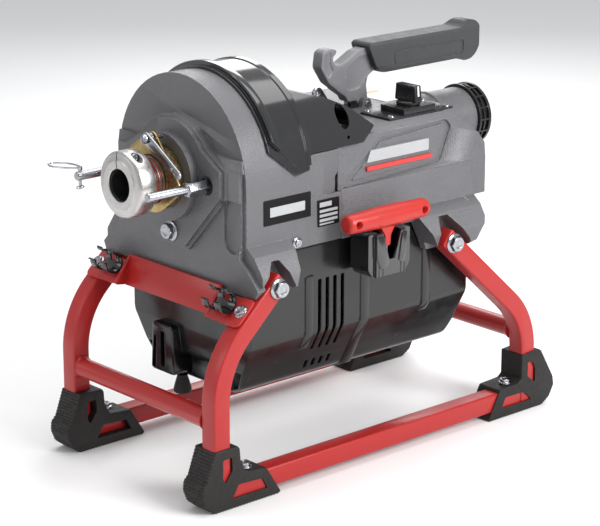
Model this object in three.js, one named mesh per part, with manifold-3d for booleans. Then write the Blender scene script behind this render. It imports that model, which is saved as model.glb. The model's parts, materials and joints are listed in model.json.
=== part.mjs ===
// Sectional drain snake machine: a tube frame on rubber feet carries a cast body with a hollow spindle,
// a clutch lever, a belt-driven motor under it and a rotary switch.
// Millimetres. +Z is up, -Y is the cable end (front), +X is the side with the tool holder.
import * as THREE from "three";
import { mergeVertices } from "three/addons/utils/BufferGeometryUtils.js";
import Module from "manifold-3d";

const wasm = await Module();
wasm.setup();

// ---------- driving dimensions ----------
const GAP = 0.3; // clearance left between pieces that touch
const FIT = 0.05; // clearance round the lever's pin
const RUN = 1; // clearance round a piece that turns in another

const TUBE = 25.4; // side of the square frame tube
const TUBE_WALL = 2;
const FRAME_HALF = 156; // outer face of the side frames
const RAIL_Z = 24; // height of the bottom rail's centre line
const FRONT_LEG = { y: -278.5, cornerZ: 183, slope: 43, radius: 115, topZ: 276.5 };
const REAR_LEG = { y: 265.6, cornerZ: 131.5, slope: 42, radius: 101, topZ: 276.5 };
const LEG_STEPS = 6;
const CROSS_TUBE_R = 12.7;
const CROSS_TUBE_Z = 113;
const PLATE_THICK = 4; // front cross plate
const FOOT_WALL = 2.4; // rubber outside the tube
const FOOT_INNER = 12; // rubber inside the tube
const LEG_BOLT_R = 6;
const LEG_BOLT_FLANGE_R = 13.5;
const FOOT_BOLT_R = 4;

const AXIS_Z = 387; // height of the spindle axis
const BORE_R = 20.5; // cable passage
const SPINDLE_R = 24;
const SPINDLE_REAR = 118;
const SPINDLE_FRONT = -305;
const COLLAR_R = 42;
const COLLAR_BACK = -283;
const COLLAR_FRONT = -310;
const NECK_R = 30; // grooved part behind the collar
const BEARING_SEAT_R = 27;
const BEARING_R = 42;
const REAR_BEARING_R = 34;
const REAR_BEARING_Y = 107;

const BARREL_R = 126;
const WALL = 6; // casting wall
const FACE_Y = -220; // lower front face
const ARCH_Y = -213; // arched front face
const BODY_REAR = 182;
const SKIRT_Z = 300; // lower edge of the body between the wings
const LEDGE_Z = 360; // joint between the body and the rear cover
const ROOF_Z = 430;
const ROOF_HALF = 110;
const SIDE_HALF = 117; // the rear cover's sides at the joint
const HOOD_FRONT = -53;
const BOSS_Y = -230; // raised boss round the spindle

const COVER_R = 132; // clutch cover over the barrel
const COVER_STEP_R = 120; // its smaller rear step

const LEVER_PIVOT = { y: 88, z: 434 };
const LEVER_PIN_R = 4;
const LEVER_THICK = 18;
const SLEEVE_R = 33;

const MOTOR_Z = 200;
const MOTOR_R = 62;
const ROTOR_R = 40;
const MOTOR_PULLEY_R = 20;
const SPINDLE_PULLEY_R = 58;
const BELT = 4;
const BELT_FRONT = -150;
const BELT_WIDTH = 22;

const COVER_HALF = 118; // motor cover
const COVER_WALL = 3;
const COVER_FRONT = -200;
const COVER_REAR = 179;

const POST_X = 71;
const POST_R = 5.8;
const POST_THREAD_R = 4;
const PIN_Y = -316; // the hitch pin's cross hole in a post
const BOSS_BOLT = { r: 5, z: 316 };
const TOOL = { x: 156, y: -8, z: 326, length: 140, r: 14 };
const KNOB = { x: 77, y: 106 };
const GUIDE_R = 40;
const GUIDE_REAR = 277;
const GUARD_R = 44;

// ---------- looks ----------
const LOOKS = {
  castGrey: [0x77777a, 0.6, 0.35],
  darkGrey: [0x5f5e61, 0.62, 0.35],
  gloss: [0x161617, 0.18, 0.1],
  plastic: [0x343437, 0.55, 0],
  rubber: [0x2c2a2c, 0.85, 0],
  grip: [0x4c4e51, 0.75, 0],
  red: [0xc2332b, 0.38, 0.2],
  handleRed: [0xd2452f, 0.5, 0],
  zinc: [0xc9ccd0, 0.28, 0.9],
  aluminium: [0xd2cfcc, 0.34, 0.9],
  yellowZinc: [0xb58f4a, 0.4, 0.8],
  steel: [0x8d9094, 0.4, 0.85],
  black: [0x121213, 0.4, 0.1],
};

// ---------- shape helpers ----------
const V2 = (x, y) => new THREE.Vector2(x, y);
const rad = THREE.MathUtils.degToRad;

// A geometry as a solid that can be joined and cut.
function solid(geometry) {
  const g = geometry.clone();
  g.deleteAttribute("normal");
  g.deleteAttribute("uv");
  const merged = mergeVertices(g, 1e-4);
  return new wasm.Manifold(
    new wasm.Mesh({
      numProp: 3,
      vertProperties: new Float32Array(merged.attributes.position.array),
      triVerts: new Uint32Array(merged.index.array),
    }),
  );
}

// A solid back as a geometry.
function geometryOf(body) {
  const mesh = body.getMesh();
  const g = new THREE.BufferGeometry();
  g.setAttribute("position", new THREE.BufferAttribute(new Float32Array(mesh.vertProperties), 3));
  g.setIndex(new THREE.BufferAttribute(new Uint32Array(mesh.triVerts), 1));
  const flat = g.toNonIndexed();
  flat.computeVertexNormals();
  return flat;
}

const join = (first, ...rest) => rest.reduce((body, next) => body.add(next), first);
const cut = (first, ...rest) => rest.reduce((body, next) => body.subtract(next), first);

function extruded(points, depth) {
  const ccw = THREE.ShapeUtils.area(points) < 0 ? [...points].reverse() : points;
  return new THREE.ExtrudeGeometry(new THREE.Shape(ccw), { depth, bevelEnabled: false, steps: 1 });
}

// A (y, z) outline carried along X, an (x, z) outline along Y and an (x, y) outline along Z.
function alongX(outline, x0, x1) {
  const g = extruded(outline.map(([y, z]) => V2(y, z)), x1 - x0);
  const turn = new THREE.Matrix4().makeBasis(
    new THREE.Vector3(0, 1, 0),
    new THREE.Vector3(0, 0, 1),
    new THREE.Vector3(1, 0, 0),
  );
  return solid(g.applyMatrix4(turn).translate(x0, 0, 0));
}

function alongY(outline, y0, y1) {
  const g = extruded(outline.map(([x, z]) => V2(x, z)), y1 - y0);
  return solid(g.rotateX(Math.PI / 2).translate(0, y1, 0));
}

function alongZ(outline, z0, z1) {
  return solid(extruded(outline.map(([x, y]) => V2(x, y)), z1 - z0).translate(0, 0, z0));
}

function box(x0, x1, y0, y1, z0, z1) {
  const g = new THREE.BoxGeometry(x1 - x0, y1 - y0, z1 - z0);
  return solid(g.translate((x0 + x1) / 2, (y0 + y1) / 2, (z0 + z1) / 2));
}

// Round bars along each axis; the centre is given in the two other coordinates.
function barX(r, x0, x1, y, z, sides = 18) {
  const g = new THREE.CylinderGeometry(r, r, x1 - x0, sides).rotateZ(Math.PI / 2);
  return solid(g.translate((x0 + x1) / 2, y, z));
}

function barY(r, y0, y1, x, z, sides = 20) {
  const g = new THREE.CylinderGeometry(r, r, y1 - y0, sides);
  return solid(g.translate(x, (y0 + y1) / 2, z));
}

function barZ(r, z0, z1, x, y, sides = 18) {
  const g = new THREE.CylinderGeometry(r, r, z1 - z0, sides).rotateX(Math.PI / 2);
  return solid(g.translate(x, y, (z0 + z1) / 2));
}

// A closed (radius, y) profile turned about the line along Y through (x, z).
function turned(profile, x = 0, z = AXIS_Z, sides = 28) {
  const points = profile.map(([r, y]) => V2(r, y));
  if (THREE.ShapeUtils.area(points) < 0) points.reverse();
  points.push(points[0].clone());
  return solid(new THREE.LatheGeometry(points, sides).translate(x, 0, z));
}

function ringY(rOut, rIn, y0, y1, x = 0, z = AXIS_Z, sides = 28) {
  return turned([[rIn, y0], [rOut, y0], [rOut, y1], [rIn, y1]], x, z, sides);
}

function circle(cx, cy, r, sides = 24) {
  return Array.from({ length: sides }, (_, i) => {
    const a = (2 * Math.PI * i) / sides;
    return [cx + r * Math.cos(a), cy + r * Math.sin(a)];
  });
}

// The tight outline round a set of points.
function hullOf(points) {
  const p = [...points].sort((a, b) => a[0] - b[0] || a[1] - b[1]);
  const turn = (o, a, b) => (a[0] - o[0]) * (b[1] - o[1]) - (a[1] - o[1]) * (b[0] - o[0]);
  const half = (list) => {
    const out = [];
    for (const q of list) {
      while (out.length > 1 && turn(out[out.length - 2], out[out.length - 1], q) <= 0) out.pop();
      out.push(q);
    }
    return out.slice(0, -1);
  };
  return [...half(p), ...half(p.reverse())];
}

// An outline mirrored across its own vertical line.
const bothSides = (half) => [...half, ...half.map(([x, z]) => [-x, z]).reverse()];
const shifted = (outline, dy) => outline.map(([y, z]) => [y + dy, z]);
const arc = (r, from, to, n) =>
  Array.from({ length: n + 1 }, (_, i) => {
    const a = rad(from + ((to - from) * i) / n);
    return [r * Math.sin(a), AXIS_Z + r * Math.cos(a)];
  });

const root = new THREE.Group();
root.name = "drain_machine";

function place(name, body, look, parent = root) {
  const [color, roughness, metalness] = LOOKS[look];
  const material = new THREE.MeshStandardMaterial({ color, roughness, metalness });
  const mesh = new THREE.Mesh(geometryOf(body), material);
  mesh.name = name;
  parent.add(mesh);
  return mesh;
}

const frame = new THREE.Group();
const machine = new THREE.Group();
const drive = new THREE.Group();
const controls = new THREE.Group();
root.add(frame, machine, drive, controls);

// ---------- frame ----------
// Centre line of a leg in the (y, z) plane: upright, a bend, then a slope in towards the body.
function legLine(leg, dir, bottomZ, overrun) {
  const slope = rad(leg.slope);
  const bend = Math.PI / 2 - slope;
  const tangent = leg.radius * Math.tan(bend / 2);
  const line = [[leg.y, bottomZ - overrun]];
  for (let i = 0; i <= LEG_STEPS; i++) {
    const a = (bend * i) / LEG_STEPS;
    line.push([
      leg.y + dir * leg.radius * (1 - Math.cos(a)),
      leg.cornerZ - tangent + leg.radius * Math.sin(a),
    ]);
  }
  const topZ = leg.topZ + overrun * Math.sin(slope);
  line.push([leg.y + dir * ((topZ - leg.cornerZ) / Math.tan(slope)), topZ]);
  return line;
}

// The outline of a band of the given half width round a centre line.
function band(line, half) {
  const left = [];
  const right = [];
  line.forEach(([y, z], i) => {
    const a = line[Math.max(i - 1, 0)];
    const b = line[Math.min(i + 1, line.length - 1)];
    const len = Math.hypot(b[0] - a[0], b[1] - a[1]);
    const n = [-(b[1] - a[1]) / len, (b[0] - a[0]) / len];
    left.push([y + n[0] * half, z + n[1] * half]);
    right.push([y - n[0] * half, z - n[1] * half]);
  });
  return [...left, ...right.reverse()];
}

const FRAME_INNER = FRAME_HALF - TUBE;
const legBottom = RAIL_Z - TUBE / 2;

// The middle of a leg's bolt, a fixed way down from its top end.
function legBolt(leg, dir) {
  const back = 14;
  const a = rad(leg.slope);
  const topY = leg.y + dir * ((leg.topZ - leg.cornerZ) / Math.tan(a));
  return { y: topY - dir * back * Math.cos(a), z: leg.topZ - back * Math.sin(a) };
}

function legSolid(leg, dir) {
  const outer = alongX(band(legLine(leg, dir, legBottom, 0), TUBE / 2), FRAME_INNER, FRAME_HALF);
  const inner = alongX(
    band(legLine(leg, dir, legBottom, 5), TUBE / 2 - TUBE_WALL),
    FRAME_INNER + TUBE_WALL,
    FRAME_HALF - TUBE_WALL,
  );
  const bolt = legBolt(leg, dir);
  const hole = barX(LEG_BOLT_R + GAP, FRAME_INNER - 5, FRAME_HALF + 5, bolt.y, bolt.z);
  return cut(outer, inner, hole);
}

function railSolid() {
  const y0 = FRONT_LEG.y + TUBE / 2 + GAP;
  const y1 = REAR_LEG.y - TUBE / 2 - GAP;
  const x0 = FRAME_INNER;
  const outer = box(x0, FRAME_HALF, y0, y1, RAIL_Z - TUBE / 2, RAIL_Z + TUBE / 2);
  const w = TUBE / 2 - TUBE_WALL;
  return cut(outer, box(x0 + TUBE_WALL, FRAME_HALF - TUBE_WALL, y0 - 5, y1 + 5, RAIL_Z - w, RAIL_Z + w));
}

// Foot outlines and windows, measured along Y from the leg's centre line.
const FRONT_FOOT = [
  [-13.5, 80], [22.5, 80], [25.5, 76], [27, 58], [35, 43], [68.5, 40], [91.5, 3], [89.5, 0],
  [-14.5, 0], [-28.5, 11], [-34.5, 26], [-33.5, 38], [-26.5, 45],
];
const REAR_FOOT = [
  [-14.6, 82], [14.4, 85], [24.4, 82], [49.9, 38], [52.1, 25], [43.4, 9], [28.4, 0], [-75.6, 0],
  [-77.1, 3], [-56.6, 41], [-21.6, 43], [-14.6, 48],
];
const FRONT_WINDOWS = [
  [[-1.5, 67], [12.5, 68], [13.5, 51], [2.5, 36], [-1.5, 42]],
  [[23.5, 30], [61.5, 28], [69.5, 13], [12.5, 13]],
];
const REAR_WINDOWS = [
  [[-2.6, 70], [7.4, 68], [12.4, 58], [12.4, 38], [-2.6, 49]],
  [[-45.6, 29], [-8.6, 28], [6.4, 14], [-52.6, 14]],
];

// A rubber foot hugs the corner of the leg and the rail, open to the tube through two windows.
function footSolid(outline, windows, leg) {
  const x0 = FRAME_INNER - FOOT_INNER;
  const x1 = FRAME_HALF + FOOT_WALL;
  const t = TUBE / 2 + GAP;
  const legHole = box(FRAME_INNER - GAP, FRAME_HALF + GAP, leg.y - t, leg.y + t, legBottom - GAP, 120);
  const railEnd = leg.y < 0 ? [leg.y, leg.y + 150] : [leg.y - 150, leg.y];
  const railHole = box(FRAME_INNER - GAP, FRAME_HALF + GAP, ...railEnd, legBottom - GAP, RAIL_Z + t);
  const open = windows.map((w) => alongX(shifted(w, leg.y), FRAME_HALF, x1 + 5));
  const boltY = footBoltY(leg);
  const hole = barZ(FOOT_BOLT_R + GAP, RAIL_Z + 10, 60, FRAME_HALF - TUBE / 2, boltY);
  return cut(alongX(shifted(outline, leg.y), x0, x1), legHole, railHole, hole, ...open);
}

const footBoltY = (leg) => (leg.y < 0 ? leg.y + 45 : leg.y - 32);

function hexBoltX(side, x, y, z) {
  const flange = barX(LEG_BOLT_FLANGE_R, x, x + 2.5, y, z, 20);
  const head = barX(11.5, x + 2.4, x + 10, y, z, 6);
  const shank = barX(LEG_BOLT_R, COVER_HALF + 1.9, x + 0.1, y, z, 14);
  const body = join(flange, head, shank);
  return side > 0 ? body : body.mirror([1, 0, 0]);
}

function footBolt(leg) {
  const x = FRAME_HALF - TUBE / 2;
  const y = footBoltY(leg);
  const top = 43;
  const shank = barZ(FOOT_BOLT_R, RAIL_Z + TUBE / 2 + GAP, top + 0.2, x, y, 16);
  return join(shank, barZ(9, top, top + 1.6, x, y, 20), barZ(7, top + 1.5, top + 7, x, y, 6));
}

for (const side of [1, -1]) {
  const tag = side > 0 ? "left" : "right";
  const flip = (body) => (side > 0 ? body : body.mirror([1, 0, 0]));
  place("rail_" + tag, flip(railSolid()), "red", frame);
  for (const [end, leg, dir] of [["front", FRONT_LEG, 1], ["rear", REAR_LEG, -1]]) {
    place("leg_" + end + "_" + tag, flip(legSolid(leg, dir)), "red", frame);
    const outline = end === "front" ? FRONT_FOOT : REAR_FOOT;
    const windows = end === "front" ? FRONT_WINDOWS : REAR_WINDOWS;
    place("foot_" + end + "_" + tag, flip(footSolid(outline, windows, leg)), "rubber", frame);
    place("foot_bolt_" + end + "_" + tag, flip(footBolt(leg)), "zinc", frame);
    const bolt = legBolt(leg, dir);
    const head = hexBoltX(side, FRAME_HALF + GAP, bolt.y, bolt.z);
    place("leg_bolt_" + end + "_" + tag, head, "zinc", frame);
  }
}

for (const [name, y] of [["cross_tube_front", FRONT_LEG.y], ["cross_tube_rear", REAR_LEG.y - 5]]) {
  const half = FRAME_INNER - GAP;
  const tube = barX(CROSS_TUBE_R, -half, half, y, CROSS_TUBE_Z, 28);
  const hollow = barX(CROSS_TUBE_R - TUBE_WALL, -half - 5, half + 5, y, CROSS_TUBE_Z, 28);
  place(name, cut(tube, hollow), "red", frame);
}

// The cross plate: an upright band between the legs whose ends lie on the legs' sloping front faces.
const PLATE_LOW = [-237, 226];
const PLATE_HIGH = [-226, 264];
const PLATE_BEND_X = 92;
const CLIP_ALONG = 72; // how far up the leg's face the clips and their bolts stand

// A point s along the front legs' sloping front face and h out from it.
function onLegFace(s, h) {
  const a = rad(FRONT_LEG.slope);
  const out = TUBE / 2 + GAP + h;
  return [
    FRONT_LEG.y + s * Math.cos(a) - out * Math.sin(a),
    FRONT_LEG.cornerZ + s * Math.sin(a) + out * Math.cos(a),
  ];
}

function crossPlate() {
  const t = PLATE_THICK;
  const high = [PLATE_HIGH[0] + t, PLATE_HIGH[1]];
  const low = [PLATE_LOW[0] + t, PLATE_LOW[1]];
  const middle = alongX([PLATE_LOW, low, high, PLATE_HIGH], -PLATE_BEND_X, PLATE_BEND_X);
  const tab = [onLegFace(50, 0), onLegFace(93, 0), onLegFace(93, t), onLegFace(50, t)];
  const near = [onLegFace(52, 0), onLegFace(85, 0), onLegFace(85, t), onLegFace(52, t)];
  const bend = hullOf([...near, PLATE_LOW, low, high, PLATE_HIGH]);
  const parts = [];
  for (const s of [1, -1]) {
    const x = [s * PLATE_BEND_X, s * (FRAME_HALF - 3)].sort((p, q) => p - q);
    const xb = [s * (PLATE_BEND_X - 3), s * (PLATE_BEND_X + 2)].sort((p, q) => p - q);
    parts.push(alongX(tab, ...x), alongX(bend, ...xb));
    const [by, bz] = onLegFace(CLIP_ALONG, t);
    const head = barZ(8, -1, 5, 0, 0, 6).rotate([90 - FRONT_LEG.slope, 0, 0]);
    parts.push(head.translate([s * (FRAME_HALF - TUBE / 2), by, bz]));
  }
  return join(middle, ...parts);
}
place("cross_plate", crossPlate(), "red", frame);

// A spring clip: an open C with lips turned outwards, standing on the plate's end tab.
const CLIP = { x0: 97, x1: 131, along: CLIP_ALONG, r: 12, thick: 1.8 };

function clipSolid(side) {
  const { r, thick } = CLIP;
  const base = PLATE_THICK + GAP;
  const centre = base + r + thick;
  const at = (radius, a) =>
    onLegFace(CLIP.along + radius * Math.sin(rad(a)), centre - radius * Math.cos(rad(a)));
  const angles = Array.from({ length: 13 }, (_, i) => -132 + 22 * i);
  const ring = [...angles.map((a) => at(r + thick, a)), ...angles.map((a) => at(r, a)).reverse()];
  const x = side > 0 ? [CLIP.x0, CLIP.x1] : [-CLIP.x1, -CLIP.x0];
  const foot = [[-7, 0], [7, 0], [7, 2.6], [-7, 2.6]];
  const seat = foot.map(([da, dh]) => onLegFace(CLIP.along + da, base + dh));
  const lips = [1, -1].map((s) => {
    const along = CLIP.along + s * (r + thick / 2) * Math.sin(rad(132));
    const out = centre - (r + thick / 2) * Math.cos(rad(132));
    const lip = [[-0.9, -1], [0.9, -1], [4.9, 6], [3.1, 6]];
    return alongX(lip.map(([da, dh]) => onLegFace(along + s * da, out + dh)), ...x);
  });
  return join(alongX(ring, ...x), alongX(seat, ...x), ...lips);
}
place("clip_left", clipSolid(1), "gloss", frame);
place("clip_right", clipSolid(-1), "gloss", frame);

// ---------- cast body ----------
const LOW_FACE = [
  [0, 409], [119, 409], [120, 300], [FRAME_HALF - 22, 290], [FRAME_HALF - 1, 268], [FRAME_HALF - 6, 257],
  [0, 257],
];
const WING_IN = 100;
const WING_SECTION = [
  [WING_IN, 316], [126, 316], [FRAME_HALF - 16, 306], [FRAME_HALF, 284], [FRAME_HALF, 264],
  [FRAME_HALF - 8, 258], [WING_IN, 258],
];
const frontBoltY = legBolt(FRONT_LEG, 1).y;
const rearBoltY = legBolt(REAR_LEG, -1).y;
// Wing outlines and the notches in them, measured along Y from the leg's bolt.
const wingFront = ARCH_Y - frontBoltY;
const FRONT_WING = [[wingFront, 316], [44.5, 316], [31.5, 262], [26.5, 258], [wingFront, 258]];
const REAR_WING = [[-53, 316], [67, 318], [64, 292], [43, 264], [37, 258], [-25, 258], [-31, 272]];
const FRONT_NOTCH = [[-51.5, 250], [-27.5, 268], [-1.5, 299], [10.5, 299], [28.5, 267], [32.5, 250]];
const REAR_NOTCH = [[-35, 250], [-28, 272], [-16, 303], [1, 303], [31, 268], [37, 250]];

// The wings flare out over the tops of the legs, with a notch that each leg stands in.
function wingSolid(profile, notch, boltY) {
  const outline = shifted(profile, boltY);
  const block = alongX(outline, WING_IN, FRAME_HALF + 4);
  const span = [Math.min(...outline.map((p) => p[0])), Math.max(...outline.map((p) => p[0]))];
  const flare = alongY(WING_SECTION, ...span);
  const legRoom = alongX(shifted(notch, boltY), FRAME_INNER - GAP, FRAME_HALF + 14);
  const coverRoom = box(WING_IN - 5, SIDE_HALF + GAP, BODY_REAR, BODY_REAR + 150, 250, 330);
  return cut(block.intersect(flare), legRoom, coverRoom);
}

function bodyCasting() {
  const barrel = alongY(
    [...arc(BARREL_R, -90, 90, 28), [BARREL_R, SKIRT_Z], [-BARREL_R, SKIRT_Z]],
    ARCH_Y, -112,
  );
  const lowFace = alongY(bothSides(LOW_FACE), FACE_Y, ARCH_Y + WALL);
  const side = arc(COVER_STEP_R + 4, 77.4, 90, 3);
  const midSection = bothSides([[0, 414], ...side, [126, SKIRT_Z], [0, SKIRT_Z]]);
  const shoulder = [[BARREL_R + 1, -100], [SIDE_HALF + GAP, HOOD_FRONT], [140, HOOD_FRONT]];
  const mirrored = shoulder.map(([x, y]) => [-x, y]);
  const leans = [shoulder, mirrored].map((wedge) => alongZ(wedge, LEDGE_Z, 420));
  const mid = cut(alongY(midSection, -112.5, HOOD_FRONT - GAP), ...leans);
  const rearSection = bothSides([[0, LEDGE_Z], [SIDE_HALF, LEDGE_Z], [129, SKIRT_Z], [0, SKIRT_Z]]);
  const rear = alongY(rearSection, HOOD_FRONT - 5, BODY_REAR);
  let body = join(barrel, lowFace, mid, rear);
  for (const s of [1, -1]) {
    for (const wing of [
      wingSolid(FRONT_WING, FRONT_NOTCH, frontBoltY),
      wingSolid(REAR_WING, REAR_NOTCH, rearBoltY),
    ]) body = join(body, s > 0 ? wing : wing.mirror([1, 0, 0]));
  }
  // hollow inside, open below over the motor
  const inner = BARREL_R - WALL;
  const underCover = [[0, 430], [106, 430], [112, 414], [119, 380], [inner, 250], [0, 250]];
  const underHood = [[0, 430], [111, 430], [111, LEDGE_Z], [inner, SKIRT_Z], [inner, 250], [0, 250]];
  const hollow = join(
    alongY([...arc(inner, -90, 90, 28), [inner, 250], [-inner, 250]], ARCH_Y + WALL, -100),
    alongY(bothSides(underCover), -110, HOOD_FRONT - 3),
    alongY(bothSides(underHood), HOOD_FRONT - 8, BODY_REAR - 2.5),
  );
  return cut(body, hollow);
}

// Outline of the boss plate: an arch over the spindle, shoulders out to the posts, tapering to a flat foot.
function bossOutline(grow) {
  const r = 73 + grow;
  return [
    ...arc(r, -56, 56, 12),
    [96 + grow, 407 + grow / 2],
    [96 + grow, 375 - grow / 2],
    [26 + grow / 2, 300 - grow],
    [-26 - grow / 2, 300 - grow],
    [-96 - grow, 375 - grow / 2],
    [-96 - grow, 407 + grow / 2],
  ];
}

function frontFace(body) {
  const step = [[0, 423], [120, 423], [123, 408], [0, 408]];
  const ridge = alongY(bothSides(step), ARCH_Y - 3.5, ARCH_Y + 2);
  const plate = alongY(bossOutline(0), BOSS_Y, ARCH_Y + 1);
  const lip = alongY(bossOutline(4), FACE_Y - 5, ARCH_Y + 1);
  const drum = barY(56, -241, BOSS_Y + 1, 0, AXIS_Z, 40);
  const nose = barY(38, -257, -240, 0, AXIS_Z, 40);
  const holes = [
    barY(NECK_R + RUN, -270, -200, 0, AXIS_Z, 40),
    barY(BEARING_R + GAP, -228, -190, 0, AXIS_Z, 40),
    barY(BOSS_BOLT.r + GAP, -240, -212, 0, BOSS_BOLT.z, 16),
    barY(POST_THREAD_R + GAP, -240, -212, POST_X, AXIS_Z, 16),
    barY(POST_THREAD_R + GAP, -240, -212, -POST_X, AXIS_Z, 16),
  ];
  return cut(join(body, ridge, lip, plate, drum, nose), ...holes);
}

function bodySolid() {
  let body = frontFace(bodyCasting());
  // a finger recess in the near front corner
  const recess = join(box(92, 124, -225, -205, 322, 372), barY(16, -225, -205, 108, 322, 24));
  body = cut(body, recess.intersect(box(80, 124, -226, -216, 300, 380)));
  // inner web that carries the rear bearing
  const webSection = [[0, 422], [60, 422], [100, 366], [100, 359], [121, 302], [0, 302]];
  const web = alongY(bothSides(webSection), REAR_BEARING_Y, REAR_BEARING_Y + 10);
  body = join(body, web.subtract(barY(REAR_BEARING_R + GAP, 100, 125, 0, AXIS_Z, 40)));
  body = cut(body, barY(GUIDE_R + GAP, 150, 220, 0, AXIS_Z, 40));
  for (const s of [1, -1]) {
    for (const [leg, dir] of [[FRONT_LEG, 1], [REAR_LEG, -1]]) {
      const line = legLine(leg, dir, legBottom, 2);
      const room = alongX(band(line, TUBE / 2 + 1.5), FRAME_INNER - GAP, FRAME_HALF + 14);
      body = cut(body, s > 0 ? room : room.mirror([1, 0, 0]));
      const bolt = legBolt(leg, dir);
      const x = [s * (COVER_HALF + 1), s * (FRAME_HALF + 4)].sort((p, q) => p - q);
      body = cut(body, barX(LEG_BOLT_R + GAP, ...x, bolt.y, bolt.z, 20));
    }
  }
  return body;
}
place("body_casting", bodySolid(), "castGrey", machine);

// The rear cover: a flat-roofed hood behind the clutch cover, with a recessed panel on each side.
const HOOD = [
  [HOOD_FRONT, LEDGE_Z + GAP], [HOOD_FRONT, 414], [-14, 414], [8, 429], [14, ROOF_Z], [147, ROOF_Z],
  [168, 418], [201, 395], [212, 380], [212, 312], [BODY_REAR + GAP, 312], [BODY_REAR + GAP, LEDGE_Z + GAP],
];
const PANEL = [[139, 419], [148, 411], [124, 370], [-42, 363], [-42, 367], [0, 393], [24, 411]];
const ROOF_SLOT = { half: 13, y0: 28, y1: 104 };

// The hood's cross-section, its walls set in by the given amount.
const hoodSection = (d) => bothSides([
  [0, ROOF_Z - 0.7 * d], [ROOF_HALF - 8 - d / 2, ROOF_Z - 0.7 * d], [ROOF_HALF - d, ROOF_Z - 8.5],
  [SIDE_HALF - d, LEDGE_Z], [SIDE_HALF - d, 300], [0, 300],
]);

function rearCover() {
  const hood = alongX(HOOD, -130, 130).intersect(alongY(hoodSection(0), -60, 220));
  const profile = [
    [-70, 340], [-70, 396], [-12, 396], [15, 426.5], [145, 426.5], [164, 413], [196, 390], [206, 378],
    [206, 318], [BODY_REAR - 2, 318], [BODY_REAR - 2, 340],
  ];
  const inside = alongX(profile, -130, 130).intersect(alongY(hoodSection(5), -75, 215));
  const s = ROOF_SLOT;
  const slot = box(-s.half, s.half, s.y0, s.y1, 410, 440);
  const tube = barY(GUIDE_R + GAP, 120, 220, 0, AXIS_Z, 32);
  const under = box(-105, 105, -70, BODY_REAR - 2, 300, LEDGE_Z + 2);
  const front = box(-104, 104, -70, 12, 340, 440);
  let body = cut(hood, inside, slot, tube, under, front);
  body = cut(body, cut(alongX(PANEL, -130, 130), alongY(hoodSection(1.5), -60, 220)));
  const eye = circle(LEVER_PIVOT.y, LEVER_PIVOT.z, 7.5, 16);
  const lug = hullOf([...eye, [78, ROOF_Z - 3.5], [98, ROOF_Z - 3.5]]);
  const hole = barX(LEVER_PIN_R + FIT, -30, 30, LEVER_PIVOT.y, LEVER_PIVOT.z, 20);
  const lugs = join(alongX(lug, s.half - 2, s.half + 5), alongX(lug, -s.half - 5, -s.half + 2));
  return cut(join(body, lugs), hole);
}
place("rear_cover", rearCover(), "castGrey", machine);

// ---------- clutch cover ----------
const COVER_EDGE = [
  [-180, 432], [-135, 394], [-113, 398], [-112.5, 415], [-12, 415], [10, 431], [20, 445],
  [20, 530], [-180, 530],
];

function clutchCover() {
  const slant = [[-130, 380], [14, 380], [14, 431], [-55, 508], [-60, 540], [-130, 540]];
  const slantIn = [[-130, 370], [10, 370], [10, 428], [-58, 503], [-62, 540], [-130, 540]];
  const sector = alongX(COVER_EDGE, -150, 150);
  const first = barY(COVER_R, -175, -106, 0, AXIS_Z, 56);
  const ridge = barY(COVER_R + 3.5, -172, -160, 0, AXIS_Z, 56);
  const rearStep = barY(COVER_STEP_R + 3, -107, 14, 0, AXIS_Z, 56).intersect(alongX(slant, -150, 150));
  const outer = join(first, ridge, rearStep).intersect(sector);
  const overBarrel = barY(BARREL_R + GAP, -180, -111.5, 0, AXIS_Z, 56);
  const inStep = barY(COVER_STEP_R, -120, 14, 0, AXIS_Z, 56).intersect(alongX(slantIn, -150, 150));
  const oval = new THREE.CylinderGeometry(10, 10, 40, 24).rotateZ(Math.PI / 2).scale(1, 1, 1.5);
  const hole = solid(oval.translate(104, -37, 450));
  const pin = barX(2.5, 90, 130, -36, 425, 12);
  const body = cut(outer, overBarrel, inStep, hole, pin);
  const roof = [[0, 432], [102, ROOF_Z + GAP], [ROOF_HALF + GAP, 421.7], [SIDE_HALF + GAP, 360], [0, 360]];
  const keepOff = alongY(bothSides(roof), -60, 20);
  const rimOff = alongY(bothSides([[0, 414 + GAP], [130, 414 + GAP], [130, 300], [0, 300]]), -110, -12);
  return cut(body, keepOff, rimOff);
}
place("clutch_cover", clutchCover(), "gloss", machine);

// ---------- motor cover, bumper ----------
function motorCover() {
  const section = (d) => bothSides([
    [0, 107 + d], [66 - d, 107 + d], [82 - d, 114 + d], [100 - d, 149], [COVER_HALF - d, 182],
    [COVER_HALF - d, 299 + 3 * d], [0, 299 + 3 * d],
  ]);
  const profile = (d) => [
    [COVER_FRONT + d, 320], [COVER_FRONT + d, 118], [COVER_FRONT + 10 + d, 100], [150, 100],
    [172 - d, 112 + d], [COVER_REAR - d, 132], [COVER_REAR - d, 320],
  ];
  const outer = alongY(section(0), COVER_FRONT, COVER_REAR).intersect(alongX(profile(0), -130, 130));
  const w = COVER_WALL;
  const inner = alongY(section(w), COVER_FRONT + w, COVER_REAR - w)
    .intersect(alongX(profile(w), -130, 130));
  const ribs = [-104, -1, 102].flatMap((y) => [1, -1].map((s) => {
    const x = [s * (COVER_HALF - 1), s * (COVER_HALF + 2)].sort((p, q) => p - q);
    return box(...x, y - 8, y + 8, 165, 262);
  }));
  const boss = box(-71, -22, COVER_FRONT - 12, COVER_FRONT + 1, 112, 178);
  let body = join(cut(outer, inner), ...ribs, boss);
  const slots = [-86, -73, -60, -47].flatMap((y) => [1, -1].map((s) => {
    const x = [s * (COVER_HALF - 20), s * (COVER_HALF + 5)].sort((p, q) => p - q);
    return box(...x, y - 3, y + 3, 172, 250);
  }));
  return cut(body, ...slots, box(-50, -42, COVER_FRONT - 15, COVER_FRONT - 5, 120, 170));
}
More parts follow.
